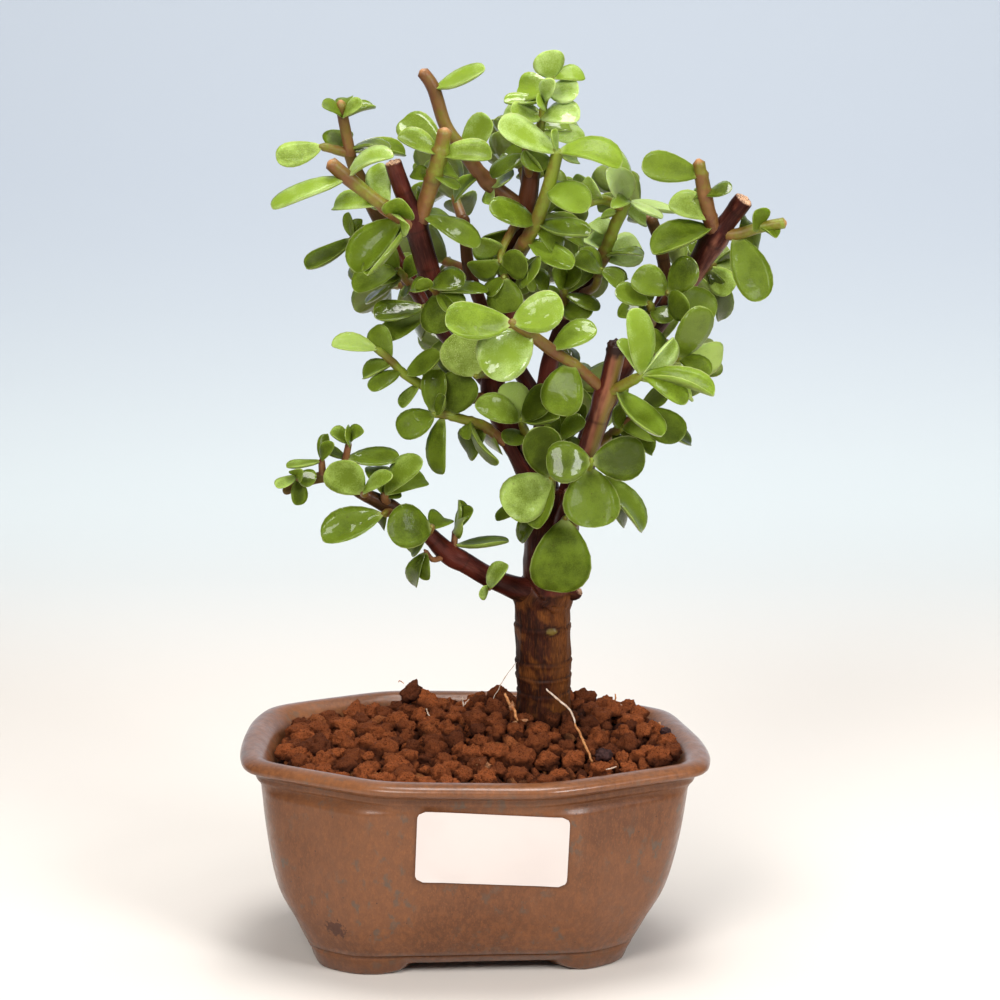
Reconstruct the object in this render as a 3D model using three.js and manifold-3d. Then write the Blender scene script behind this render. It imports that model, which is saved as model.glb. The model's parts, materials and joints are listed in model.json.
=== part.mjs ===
// A dwarf jade bonsai in a glazed pot. Millimetres, +Z up, front towards -Y.
// It is drawn about the middle of the pot, on the ground, and moved at the end.
import * as THREE from "three";
import { mergeVertices } from "three/addons/utils/BufferGeometryUtils.js";
import Module from "manifold-3d";

const wasm = await Module();
wasm.setup();

// ---------------------------------------------------------------- driving dimensions
const GAP = 0.3; // clearance between two pieces that touch
const FOOT_TURN = THREE.MathUtils.degToRad(3.5); // how far the pot's foot is turned
const RIM_TURN = THREE.MathUtils.degToRad(-2); // how far its rim is turned: the wall twists between them
const FOOT_SHIFT = -2.6; // how far the foot stands off the middle of the rim, along X
const SIDE_ANGLE = THREE.MathUtils.degToRad(17); // the faces that round the short sides look this far off X
const SIDE_CUT = 1; // middle to one of those faces, past half the width
const WALL_SHARPNESS = 34; // power of the norm that blends the faces of an outline
const OUTLINE_POINTS = 28;

// Outlines of the pot's outer wall, lowest first: height, width, depth, middle to corner face, and where
// that face looks, in degrees off X.
const OUTER_WALL = [
  [0, 88, 55.4, 40, 57],
  [5.4, 91.2, 59.8, 42, 57],
  [6.4, 93.2, 62.6, 43.2, 57],
  [13, 99.2, 69.8, 46.2, 57],
  [21, 107.2, 76, 48.8, 57],
  [34, 112.9, 81.4, 50.5, 57.5],
  [50.4, 116.8, 84.8, 50.6, 59],
  [52.4, 119.2, 86.6, 50, 61],
  [55.2, 127.2, 93.4, 52.4, 62],
  [56.6, 128, 94.2, 52.7, 62],
  [58.2, 123.4, 89.6, 50.5, 62],
];
// Outlines of its hollow, highest first.
const INNER_WALL = [
  [58.2, 118, 85.2, 48.2, 62],
  [55.4, 110, 77.7, 44.3, 62],
  [34, 102.6, 71.4, 45.4, 58],
  [20, 94, 63, 42, 57],
  [8, 80, 50, 36.5, 57],
];
// How far the hand-made rim stands out at each of its quarters, at its side face and its corner face. The
// wall below has a share of it.
const QUARTERS = [
  { x: 1, y: 1, side: -5.4, corner: -1.2 },
  { x: -1, y: 1, side: 1, corner: 1.9 },
  { x: -1, y: -1, side: 1.7, corner: 0.2 },
  { x: 1, y: -1, side: 2.6, corner: -1.2 },
];
const FLOOR_UNDERSIDE = 3.2; // height of the pot's bottom between the feet
const FOOT_WALL = 7; // width of the rim that the feet are cut from
const FOOT_CUTS = [45, 27]; // width of the cut-outs: front and back, sides
const DRAIN_HOLE = { radius: 4, offset: 20 };

const SOIL_TOP = 54.2; // level at the wall
const SOIL_MOUND = 9; // height of the mound at the trunk
const SOIL_BOTTOM = INNER_WALL[4][0] + GAP;
const GRAIN_PITCH = 10; // distance between neighbouring grains
const GRAIN_RELIEF = 2.8;
// Large lumps that lie on the soil: x, y, size.
const LUMPS = [
  [-16.5, 26, 8.2],
  [-22.5, 24.5, 6.4],
  [-9.5, 28, 6],
  [-41, 4, 7],
  [-30, -20, 6.5],
  [10, -24, 6.6],
  [41, -8, 6.2],
  [36, 18, 6.8],
];

const LABEL = { width: 40, height: 20, corner: 2, thickness: 0.5, x: 4.4, z: 39.5, tilt: 2.5 };

// The plant is drawn on its front elevation, as seen by an eye in front of it and above it. A row gives
// where a point appears on the middle plane and how far behind that plane it lies: x, z, depth.
const EYE = new THREE.Vector3(6.4, -974, 349);

// Trunk and limbs: points of x, z, depth, width.
const LIMBS = [
  {
    name: "trunk",
    sides: 10,
    route: [
      [18.5, 30, 8.5, 16], [18.5, 58, 8.5, 16.8], [18.2, 63, 8.5, 15.4], [18.3, 69.6, 8.5, 14.4],
      [18.3, 74, 8.5, 14.8], [18.2, 78, 8.5, 15.2], [18, 88, 8.5, 15.2], [17.8, 95.5, 8.5, 15.4],
      [17.9, 97, 8.5, 16.4], [19.3, 99, 8.5, 14.6], [19.8, 108, 8.5, 14],
      [20.2, 114, 8.5, 14.6], [21, 120, 8, 13], [21.2, 124, 7.5, 7],
    ],
  },
  {
    name: "trunk_knob",
    sides: 6,
    route: [[22, 98, 7, 4], [26.5, 98, 5.5, 3.4], [27.6, 98.6, 5, 2.4]],
  },
  {
    name: "leader",
    sides: 6,
    route: [
      [20.5, 114, 8.5, 9], [16, 130, 9, 8], [9, 143, 9, 7.4], [4.5, 154, 8.5, 6.6], [6.5, 164, 9, 6.4],
      [8.7, 173, 10, 6], [8.7, 185, 11, 5.6], [11, 195, 11, 5.4], [13.8, 206, 10, 5.2],
      [15, 215.5, 9.5, 4.8],
    ],
  },
  {
    name: "left_limb",
    sides: 6,
    route: [
      [5, 158, 8.5, 6], [-1, 167, 6, 6.2], [-7, 175, 3, 6], [-11.3, 183, 0, 6], [-14.6, 194, -2, 6.2],
      [-16.4, 200, -3, 6.8], [-18.6, 206, -4.5, 4.8], [-21.6, 214.8, -6, 4.5],
    ],
  },
  {
    name: "back_left_limb",
    sides: 6,
    route: [
      [3, 157, 10, 5], [-8, 169.5, 15, 4.8], [-15, 180, 19, 4.6], [-19.5, 187, 20.5, 4.4],
      [-24, 197, 20, 4.2],
      [-27.5, 204.5, 18, 4], [-31.5, 213, 15, 3.6], [-33, 217, 14, 3.4],
    ],
  },
  { name: "low_left_limb", sides: 6, route: [[18, 118, 8, 5], [12.5, 131.5, 4, 3.8], [8, 140.5, 2, 3.2]] },
  {
    name: "front_limb",
    sides: 6,
    route: [
      [22.5, 112, 6, 7], [27.5, 127, -4, 6], [30.3, 139, -9, 5.6], [32.8, 147.5, -11.5, 5.4],
      [34.6, 153.4, -13, 6.6], [35.6, 157, -14, 5], [37.6, 166.2, -16.5, 5.2],
    ],
  },
  { name: "small_stub", sides: 6, route: [[21.5, 114, 6, 5], [23, 119, 1, 4.4], [25.2, 125.6, -3.5, 4]] },
  {
    name: "right_limb",
    sides: 6,
    route: [
      [22, 114, 9, 8], [29, 137, 12, 6.6], [38, 158, 14, 6], [47, 171, 13, 5.8], [53.4, 180, 11, 6],
      [58.5, 187.5, 9, 6.2], [63.4, 195.6, 7, 7.4], [66, 199, 6, 5.4], [70.6, 205, 4, 5.2],
    ],
  },
  {
    name: "back_limb",
    sides: 6,
    route: [
      [21.5, 116, 10, 6.4], [18, 138, 20, 5.4], [19, 158, 25, 5], [22.5, 170, 25, 4.6], [27, 179.5, 22, 4.2],
      [30.5, 185, 19, 3.8],
    ],
  },
  {
    name: "back_right_limb",
    sides: 6,
    route: [[38, 159, 14, 4.6], [44, 168, 22, 4], [50, 180, 29, 3.6], [49, 192, 30, 3.4],
      [46.5, 199.5, 28, 3.2]],
  },
  {
    name: "far_back_limb",
    sides: 6,
    route: [[18.6, 148, 23, 4.6], [10, 162, 31, 4.2], [2, 176, 35, 3.8], [-2, 188, 35, 3.4],
      [-3, 200, 32, 3]],
  },
  {
    name: "low_branch",
    sides: 6,
    route: [
      [17, 97.5, 7.5, 8], [11, 99.5, 4, 6.4], [4, 102.5, 0.5, 5.6], [-3, 106.7, -2.5, 5.4],
      [-7.4, 109.2, -4, 5.8],
      [-13, 114.8, -6.5, 4.4], [-20, 120, -9, 4], [-24, 122.6, -10, 4.4], [-31, 126.2, -12, 3.4],
      [-37, 130.2, -13.2, 3.4], [-43, 130, -14, 3], [-50.8, 126.6, -15, 2.4],
    ],
  },
];

// Leaf forms: how far the two halves fold up (share of the half width), how far the middle bows up
// from the chord (share of the length).
const FORMS = [
  { fold: 0.1, bow: 0.03 },
  { fold: 0.24, bow: -0.05 },
  { fold: 0.5, bow: 0.02 },
  { fold: 0.14, bow: 0.09 },
  { fold: 0.4, bow: -0.1 },
  { fold: 0.3, bow: 0.1 },
];
const LEAF_THICKNESS = 1.9;
const LONG_LEAF = 15; // leaves from this length on have one more ring of points
const SHORT_RINGS = [0.4, 0.84];
const LONG_RINGS = [0.24, 0.6, 0.9];
const FULLNESS = 1.12; // share of the listed width that a leaf's flat facets need for a full outline
const STEM_SIDES = 4;
const STEM_END = 0.9; // how far a stem runs on past the last point of its route
const ROOT_DEPTH = 0.3; // how far behind the middle of its stem a leaf is rooted

// Leafy stems. A route has points of x, z, depth, width. A leaf is: place along the route, x, z and depth of
// its tip, width, and face: 0 shows its upper side to the front, 90 turns it towards the end of the stem.
const SPRAYS = [
  {
    name: "spray_tall_cut",
    young: true,
    stems: [{
      route: [
        [12.5, 203, 10, 3.8], [4, 209, 9, 4.4], [0, 213.5, 8.5, 4], [-8, 225, 7.5, 3.6],
        [-11, 234.5, 7, 3.6],
        [-14, 239, 6.5, 2.8],
      ],
      leaves: [
        [4, 2.2, 240, 3, 8, 62], [2.5, 4.2, 225.3, 2, 9.5, 35], [1, 9.6, 211.8, 4, 6.5, 65],
        [1.6, -5.8, 204.8, 12, 6, 60], [1, 3.5, 204, 5, 4, 40],
      ],
    }],
  },
  {
    name: "spray_left_fork",
    stems: [{
      route: [[-15.2, 198.5, -3, 4.6], [-13, 205, -5, 4.4], [-11, 211.5, -6.5, 4.4], [-9.3, 217, -7.5, 4.8],
        [-8, 223.7, -8.5, 3.6]],
      leaves: [
        [3, -20.3, 222, -9, 6.5, 40], [3, 4.2, 216.8, -10, 7.5, 42], [3.2, -19, 227, 0, 9.5, 20],
        [2, -5, 208.3, -12, 6, 70], [1.8, -17, 212.3, -4, 4.5, 25], [0.4, 1, 193.3, -9, 8.5, 50],
        [0.4, -6.5, 201, 2, 5, 60], [0.3, -14.2, 208.3, 2, 5, 30], [2.2, -5, 212.3, -1, 6, 45],
      ],
    }],
  },
  {
    name: "spray_left_slant",
    young: true,
    stems: [{
      route: [[-17, 198.5, -4, 4.2], [-23, 202.5, -7, 4], [-30, 208, -8.5, 3.6], [-33.7, 211, -9.5, 4],
        [-38.3, 215, -10.5, 3.2]],
      leaves: [
        [3, -54, 203.8, -14, 8, 58], [3, -21.8, 217.3, -13, 7.5, 62], [0.5, -20.3, 205.2, -13, 8.5, 18],
        [0.5, -18, 198.3, -14, 6.5, 75], [1.2, -37.8, 203.5, 0, 6, 35], [1, -26.5, 214.8, 2, 6.5, 15],
        [1, -27.8, 207.8, 3, 3.5, 50], [0.4, -32.8, 186.5, -9, 9.5, 20], [0.2, -29.3, 185.5, -13, 6, 65],
      ],
    }],
  },
  {
    name: "spray_far_left_cut",
    stems: [
      {
        route: [[-32.6, 215.5, 14.3, 3], [-33.2, 219, 13.5, 3], [-34.7, 226.8, 12.5, 3],
          [-35.3, 231, 12, 2.4]],
        leaves: [
          [2, -39.9, 230.3, 8, 5.5, 60], [2, -30, 230.6, 7, 5.5, 60], [2, -26.3, 229.8, 17, 5, 65],
          [2, -33.5, 232.3, 19, 5, 30], [0.7, -18.2, 217.4, 19, 5.5, 50], [0.8, -22.3, 219.4, 11, 4.5, 70],
        ],
      },
      {
        route: [[-33, 217.4, 14, 2.8], [-40.2, 219.2, 13, 2.4]],
        leaves: [[1, -52.3, 216, 10, 7.5, 30], [0.55, -35.2, 223.8, 19, 8, 20]],
      },
    ],
  },
  {
    name: "spray_left_reach",
    stems: [{
      route: [[-24, 196.4, 20, 2.6], [-29, 194.3, 16, 2.2], [-32.5, 194.8, 14, 1.8]],
      leaves: [
        [2, -45, 187.3, 9, 6.5, 50], [2, -34, 201.8, 15, 4, 50], [1.7, -30.3, 200, 13, 4, 40],
        [1.4, -28.3, 197.8, 12, 4, 30],
      ],
    }],
  },
  {
    name: "spray_left_mid",
    stems: [{
      route: [[-15.5, 181, 18.5, 2.8], [-19, 184.5, 12, 2.4], [-20.5, 186.5, 8, 2]],
      leaves: [
        [1.4, -30, 185.8, 6, 8.5, 45], [2, -32.3, 181.3, 3, 8.5, 40], [1.2, -29.5, 177.8, 9, 6, 80],
        [2, -23.5, 192.5, 9, 7, 30], [0.6, -19.5, 179.3, 13, 4, 60], [0.9, -13.5, 189, 13, 7, 40],
      ],
    }],
  },
  {
    name: "spray_left_glossy",
    stems: [{
      route: [[-9, 178.5, 1.6, 2.4], [-10.8, 181, -5, 2], [-12, 181.8, -8, 1.6]],
      leaves: [
        [2, -14.7, 183.8, -11, 5, 35], [1.8, -17.3, 181.5, -6, 6, 50], [2, -3, 184, -10, 7.5, 40],
        [1, -4.3, 187, -2, 7, 40], [0.8, 3.3, 181.5, -3, 6, 60], [0.8, -8.5, 169.8, -9, 10.5, 22],
        [0.8, -3.5, 176, -6, 8, 40],
      ],
    }],
  },
  {
    name: "spray_left_pair",
    stems: [{
      route: [[-9, 170.8, 15, 2.8], [-12, 174.5, 8, 2.6], [-13.7, 176.5, 4, 2.2]],
      leaves: [[2, -26.8, 174.3, -2, 8.5, 50], [1.4, -25.5, 168.2, 1, 7.5, 42], [1.2, -16, 169, 14, 7, 40]],
    }],
  },
  {
    name: "spray_left_twig",
    stems: [{
      route: [[4, 152.5, 8, 3], [-4, 151.5, 4, 2.8], [-9.5, 153, 1, 2.6], [-15, 155.8, -2, 2.6],
        [-19, 158.3, -4, 2.4],
        [-22.5, 162, -5, 2.2], [-26, 165, -6, 1.8]],
      leaves: [
        [6, -38.3, 166.6, -8, 5.5, 35], [5, -27.3, 171.3, 0, 6.5, 18], [4.8, -30.3, 157.6, -2, 5.5, 50],
        [4.3, -28.2, 154.4, -10, 6, 45], [4, -9.6, 163.8, -9, 6.5, 40], [3, -20.3, 149.6, -3, 4.5, 45],
        [2, -10, 160, 6, 6, 30],
      ],
    }],
  },
  {
    name: "spray_left_low",
    stems: [{
      route: [[7.5, 140, 2, 3], [2, 144.5, -1.5, 2.8], [-3, 146, -3, 2.6], [-7.5, 147.3, -4.5, 2.4],
        [-11, 147.5, -5, 2]],
      leaves: [
        [4, -20.8, 142.6, -8, 8.5, 25], [4, -8.5, 152.3, -11, 4.5, 50], [4, -9.7, 159.6, -1, 7, 18],
        [3.3, -10, 131, -7, 6.5, 35], [4, -15.3, 142.3, -7, 4.5, 70], [3, -2.5, 158.3, -6, 10.5, 8],
        [2.8, -7, 153, 2, 6, 30], [1.7, 5.5, 134, -12, 7, 78], [1.7, -2, 140.8, -6, 4.5, 50],
        [0.8, -2.8, 136.8, 3, 9, 30], [0.8, 5.5, 137, 6, 7, 60],
      ],
    }],
  },
  {
    name: "spray_left_round",
    stems: [{
      route: [[4, 158.5, 7.5, 2.6], [1, 158.5, -2, 2.4], [0, 158, -8, 2]],
      leaves: [[2, -5.5, 169.3, -12, 12.5, 10], [1.5, -10.5, 161.5, -4, 5, 60], [1, 5, 167.8, 1, 5, 40]],
    }],
  },
  {
    name: "spray_crown_tip",
    young: true,
    stems: [{
      route: [[14.8, 213, 9.5, 3.2], [16.8, 223, 8, 2.4], [18, 231, 7, 2], [20, 237, 6, 1.6]],
      leaves: [
        [3, 18.8, 244.2, 4, 8.5, 15], [3, 28.6, 238, 8, 5.5, 40], [2.6, 11, 235.2, 11, 8, 22],
        [2.1, 7.4, 231.4, 6, 4.5, 55], [2.4, 26.8, 233.6, 3, 7.5, 30], [2, 20.3, 236.3, -1, 5, 40],
        [1.5, 26.9, 226.8, -1, 8.5, 45], [1.8, 16.5, 231, -2, 5, 70], [1.5, 9.5, 228.7, 1, 6.5, 45],
        [1.6, 6.8, 227, 12, 6, 45], [1, 28.8, 221.8, 8, 7, 45], [1.1, 27, 225.3, 13, 6.5, 40],
        [0.9, 8.7, 222.3, 13, 6.5, 65],
      ],
    }],
  },
  {
    name: "spray_crown_front",
    young: true,
    stems: [{
      route: [[10.3, 189, 10.5, 4], [12.8, 193.5, 3, 4.2], [16, 199, 0, 3.8], [19, 208, -2, 3.6],
        [21.5, 217.8, -4, 3.2]],
      leaves: [
        [4, 6.2, 225.2, -9, 11, 50], [4, 38.3, 214.6, -10, 10, 50], [4, 20.3, 223.4, -8, 4, 65],
        [4, 27.2, 215.7, 1, 5, 55], [3, 29.5, 202.8, -10, 9.5, 32], [3, 24.8, 207.2, 5, 5.5, 40],
        [2, 3.9, 203.6, -6, 8.5, 42], [2, 30, 196.4, -6, 7.5, 55], [1.8, 22.8, 191.3, 4, 6.5, 30],
        [2, 29, 193.8, 9, 6, 35], [1.2, 25.6, 187.3, -3, 7.5, 38],
      ],
    }],
  },
  {
    name: "spray_crown_dark",
    stems: [{
      route: [[14.5, 210.5, 9.5, 2.6], [13.3, 215.5, 4.5, 2.2], [13, 218.5, 2.5, 1.8]],
      leaves: [
        [2, 17.3, 212.9, -3, 8.5, 40], [1.5, 3.7, 211.8, 3, 6.5, 50], [1, 7.5, 218, 9, 7.5, 35],
        [2, 18.7, 211.2, 0, 6, 65],
      ],
    }],
  },
  {
    name: "spray_leader_left",
    stems: [{
      route: [[11, 198.5, 10.5, 2.8], [9.5, 197, 5, 2.4], [7, 192, 1, 2], [6.5, 189, -1, 1.8]],
      leaves: [
        [1, 1.8, 194.3, 5, 6.5, 50], [2, -0.3, 194, -4, 7.5, 35], [3, -1.7, 186.3, 1, 8.5, 45],
        [3, 13.5, 187, -6, 8, 25],
      ],
    }],
  },
  {
    name: "spray_leader_right",
    stems: [{
      route: [[9, 184.8, 11, 2.8], [12.3, 186, 4, 2.4], [13.5, 186.8, 0, 2]],
      leaves: [
        [2, 18.5, 186.3, -6, 9.5, 25], [2, 10, 183.5, -5, 7, 30], [1.3, 19.5, 181.5, 5, 7, 45],
        [1, 12.5, 179.5, 6, 7, 40],
      ],
    }],
  },
  {
    name: "spray_leader_mid",
    stems: [{
      route: [[8.8, 181, 10, 2.8], [7.8, 184, 2.5, 2.4], [7.5, 184.5, -1, 2]],
      leaves: [[2, 10.5, 175.5, -4, 10, 20], [2, 2.8, 179.8, -2, 5, 40], [1, 1, 190.5, 5, 6, 50]],
    }],
  },
  {
    name: "spray_mid_right",
    young: true,
    stems: [
      {
        route: [[30.3, 184.8, 19.2, 3.6], [33, 188.5, 17.5, 3.6], [37, 199, 15, 3.4], [40, 204.8, 13, 3]],
        leaves: [
          [3, 34.8, 213, 5, 7.5, 22], [3, 36.2, 219.5, 17, 5, 55], [3, 49.3, 200.6, 9, 4.5, 65],
          [3, 53.2, 202.3, 16, 4.5, 65], [2.6, 32.8, 200.8, 17, 4.5, 65], [2.7, 45.3, 199.3, 21, 5.5, 40],
          [3, 36, 203.3, 4, 4, 25], [1.1, 43.7, 193.3, 23, 9.5, 12], [1.1, 44.2, 191, 12, 6, 78],
          [1.3, 29.3, 195.3, 22, 6, 30], [1.7, 30.8, 199.8, 22, 6, 30],
        ],
      },
      {
        route: [[38.5, 203, 13.5, 2.6], [33.3, 205.2, 10, 2.6], [28.5, 203.6, 8, 2.2]],
        leaves: [[1, 25.8, 211.4, 11, 6, 45], [1, 29.3, 210.9, 4, 5, 35]],
      },
    ],
  },
  {
    name: "spray_mid_fan",
    stems: [
      {
        route: [[24, 173, 24.5, 2.8], [23.3, 180, 14, 2.4], [23, 181.5, 10, 2]],
        leaves: [
          [2, 19.3, 187, 6, 6, 40], [2, 27.5, 186.6, 6, 6, 40], [1, 33.5, 177.6, 13, 5.5, 50],
          [1, 35.5, 181.5, 17, 8, 30], [0.6, 31.3, 176, 12, 8, 35], [0.6, 17.5, 180.5, 16, 6, 50],
        ],
      },
    ],
  },
  {
    name: "spray_mid_low",
    stems: [{
      route: [[27.4, 179.8, 21.4, 2.6], [31.4, 182, 14, 2.4], [33, 186.4, 9, 2]],
      leaves: [
        [2, 24.3, 187.3, 3, 7, 35], [2, 38.3, 181.8, 6, 6, 40], [2, 40.3, 184.6, 11, 6, 60],
        [1.8, 30, 192.8, 15, 7, 50],
      ],
    }],
  },
  {
    name: "spray_right_up_cut",
    stems: [{
      route: [[63.2, 194.5, 7, 4], [61.8, 200, 3.5, 4.2], [60.3, 206.5, 2, 4], [58.5, 215.5, 0.5, 3.4]],
      leaves: [
        [2.6, 43.8, 214.2, -3, 9.5, 35], [2, 67, 208, -3, 6, 55], [2, 57, 205.3, 6, 3.5, 45],
        [1, 51, 204.6, 3, 8, 30], [1.2, 56.5, 205.7, 9, 5, 40], [0.6, 46.8, 191.3, -5, 9.5, 45],
      ],
    }],
  },
  {
    name: "spray_right_tip",
    stems: [{
      route: [[65, 196, 6, 3.2], [69, 196, 4.5, 3.2], [75, 197.8, 4, 3], [81.5, 199, 3, 3]],
      leaves: [
        [2, 73.7, 202, 0, 7, 40], [2, 79.5, 195.3, 1, 5, 60], [1, 71.5, 200.5, 11, 5, 25],
        [0.8, 75.5, 178.3, -2, 10, 15], [1, 75, 192.5, 12, 7, 25],
      ],
    }],
  },
  {
    name: "spray_right_side",
    stems: [{
      route: [[58, 186, 10, 2.6], [61, 187, 15, 2.4], [63, 187.7, 18, 2]],
      leaves: [
        [2, 69.8, 187.3, 19, 5.5, 50], [2, 69, 190.8, 22, 5, 40], [1, 67.9, 180.7, 14, 8, 25],
        [1, 65.5, 172.8, 18, 6.5, 30], [1, 57, 194, 20, 6, 30],
      ],
    }],
  },
  {
    name: "spray_right_glossy",
    stems: [{
      route: [[53, 179, 11.5, 2.8], [51.5, 180, 3, 2.4], [51, 180.3, -1, 2]],
      leaves: [
        [2, 57.7, 188.8, -5, 8.5, 25], [1.6, 41.3, 184.5, 1, 8.5, 22], [2, 56, 175, -8, 8, 40],
        [1.3, 63.8, 175, 2, 9, 25],
      ],
    }],
  },
  {
    name: "spray_right_inner",
    stems: [{
      route: [[46.5, 170.5, 13.5, 2.6], [46.8, 175, 5, 2.4], [46, 177.5, 1, 2]],
      leaves: [[2, 37, 181, -1, 7, 40], [1.4, 52, 173, -1, 7, 40], [1, 37.6, 174.5, 3, 6.5, 45],
        [1.8, 48, 187, 6, 7, 40]],
    }],
  },
  {
    name: "spray_right_light",
    stems: [{
      route: [[41, 162.5, 14, 2.8], [48, 163, 4, 2.4], [54, 162.5, -4, 2]],
      leaves: [
        [2, 60.5, 176.3, -8, 9.5, 30], [2, 66, 163.5, 2, 9.5, 25], [2, 62, 158, -9, 7, 45],
        [1.5, 44.5, 170, -5, 6, 35], [1.2, 57, 167, 8, 7, 40], [1, 43.8, 158.2, 0, 7, 35],
      ],
    }],
  },
  {
    name: "spray_front_whorl",
    young: true,
    stems: [{
      route: [[34.5, 153.3, -13, 3], [39, 155.3, -17, 3], [44, 158, -21, 2.6]],
      leaves: [
        [2, 38, 167.7, -22, 6, 50], [2, 42, 176, -24, 8.5, 35], [2, 63.5, 153.3, -28, 7, 60],
        [2, 56, 150.8, -29, 7, 40], [2, 53, 168, -16, 6, 45], [0.6, 50, 142, -22, 8.5, 50],
        [1.7, 58, 151.8, -13, 6, 60],
      ],
    }],
  },
  {
    name: "spray_front_twig",
    young: true,
    stems: [{
      route: [[34, 154, -13, 3.2], [26.5, 160.8, -18, 3], [20, 165, -21, 3.4], [14, 169.5, -24, 3],
        [9.5, 172.3, -27, 2.6]],
      leaves: [
        [4, -8, 172.8, -32, 11.5, 35], [4, 23, 177.3, -29, 11, 25], [2, 31.7, 171.5, -21, 8, 38],
        [1.2, 22.3, 147.2, -23, 11, 12], [2.9, 2.8, 158.3, -30, 14, 15],
      ],
    }],
  },
  {
    name: "spray_front_bright",
    stems: [{
      route: [[13, 136, 9, 2.8], [13.2, 142, 0, 2.6], [12, 145.8, -7, 2]],
      leaves: [
        [2, 0, 150.2, -12, 8, 30], [2, 20, 154.3, -10, 8.5, 35], [1.7, 8, 156, -3, 8, 12],
        [2, 22, 147, -13, 6, 55], [1, 7.5, 140.5, -6, 6, 35],
      ],
    }],
  },
  {
    name: "spray_centre_low",
    stems: [{
      route: [[20, 130, 16, 2.8], [22, 138, 4, 2.6], [22.5, 141, -2, 2.2]],
      leaves: [
        [2, 30.5, 144.5, -6, 7, 40], [2, 18, 148.5, -2, 6, 40], [1.5, 16.5, 143, 2, 6, 40],
        [1.4, 28.5, 150.5, 3, 8, 35], [1, 29, 139.5, 8, 7, 45],
      ],
    }],
  },
  {
    name: "spray_trunk_right",
    stems: [{
      route: [[26, 122, -1.5, 3], [29, 129.5, -11, 2.6], [30.8, 134.8, -18, 2.2]],
      leaves: [
        [2, 18.8, 134.3, -20, 11, 12], [2, 45.2, 136.3, -20, 11.5, 12], [1.7, 32, 116.5, -22, 14.5, 8],
        [1.2, 45.3, 115.8, -12, 8.5, 50], [1.2, 42.8, 122, -3, 7, 35], [1, 40.5, 116.8, -6, 5, 40],
      ],
    }],
  },
  {
    name: "spray_trunk_left",
    stems: [{
      route: [[18.5, 119, 4, 3], [20, 126.5, -4, 2.6], [20.3, 130.3, -10, 2.2]],
      leaves: [
        [2, 14, 144.8, -14, 10.5, 12], [2, 8.3, 120.5, -15, 12.5, 10], [1.8, 16, 116.3, -16, 8, 30],
        [0.8, 4.9, 119.3, -2, 5, 40], [0.8, 11.8, 112.3, -4, 5, 30],
      ],
    }],
  },
  {
    name: "spray_trunk_front",
    stems: [{
      route: [[22.8, 114.5, 2, 2.8], [23.5, 117.5, -5, 2.4], [24, 119, -8, 2]],
      leaves: [[2, 20.7, 98.6, -11, 15.5, 6]],
    }],
  },
  {
    name: "spray_low_right",
    stems: [
      {
        route: [[30, 137.5, 12, 2.8], [36, 142, 5, 2.6], [39, 144, 1, 2.2]],
        leaves: [
          [2, 49, 141.5, -4, 8, 35], [1.6, 47.5, 137, 4, 6.5, 40], [2, 37.5, 149.5, -4, 7, 45],
          [1.2, 41, 136, -1, 6, 40],
        ],
      },
      {
        route: [[38.5, 144, 2, 2.4], [44.5, 149, 1, 2]],
        leaves: [[1, 55, 141, -5, 9.5, 22], [1, 58, 139.7, 6, 6, 50], [0.9, 50.5, 154.5, 4, 6.5, 40]],
      },
    ],
  },
  {
    name: "spray_branch_tip",
    stems: [
      {
        route: [[-41, 130, -13.8, 2.2], [-41.3, 134.8, -15.5, 1.8]],
        leaves: [[1, -40.2, 142.3, -12, 4, 40], [1, -50.8, 133.6, -18, 3.5, 60],
          [1, -38.3, 139.5, -20, 4, 40]],
      },
    ],
  },
  {
    name: "spray_branch_end",
    stems: [{
      route: [[-47.6, 127.9, -14.6, 2], [-48, 130.8, -17, 1.6]],
      leaves: [
        [1, -47.3, 136.8, -20, 4, 40], [1, -53.5, 127.8, -21, 4.5, 50], [1, -43.3, 131.8, -19, 5, 25],
        [0.8, -46.5, 124.6, -13, 5, 35],
      ],
    }],
  },
  {
    name: "spray_branch_cup",
    stems: [{
      route: [[-36.6, 130, -13.2, 2.2], [-35, 135, -13.6, 2], [-34, 139.5, -14, 1.8]],
      leaves: [
        [2, -38.8, 142.6, -16, 5.5, 55], [2, -30.2, 143.2, -16, 5.5, 55], [2, -34.5, 142.3, -21, 6, 80],
        [1.1, -20.3, 136.2, -11, 7.5, 50], [1.1, -40.5, 138.5, -9, 4, 50],
      ],
    }],
  },
  {
    name: "spray_branch_mid",
    stems: [{
      route: [[-23.8, 122.6, -10, 2.8], [-24.6, 125.4, -13, 2.2]],
      leaves: [
        [1, -14.8, 135.3, -17, 8, 40], [1, -13.3, 130, -7, 8, 35], [0.8, -27.5, 133.5, -6, 7.5, 30],
        [0.8, -20, 125.8, -12, 3.5, 40],
      ],
    }],
  },
  {
    name: "spray_branch_light",
    stems: [{
      route: [[-29.6, 125.6, -11.6, 2.4], [-30.3, 125.8, -15.5, 2]],
      leaves: [[1, -39, 133.6, -19, 10, 20], [1, -22.8, 130.8, -23, 5.5, 50]],
    }],
  },
  {
    name: "spray_branch_low",
    stems: [{
      route: [[-21.8, 121.3, -9.4, 2.4], [-24.8, 120.2, -14, 2]],
      leaves: [[1, -41.3, 113.2, -20, 9.5, 30], [1, -34, 114.8, -11, 6, 60],
        [0.7, -25.5, 116.8, -6, 4.5, 30]],
    }],
  },
  {
    name: "spray_branch_round",
    stems: [{
      route: [[-13, 114.8, -6.6, 2.4], [-12, 116.6, -13, 2]],
      leaves: [[1, -23.6, 115.4, -19, 11.5, 12], [0.7, -8.5, 119.5, -5, 7, 25],
        [0.7, -16.5, 109.6, -7, 6, 30]],
    }],
  },
  {
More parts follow.
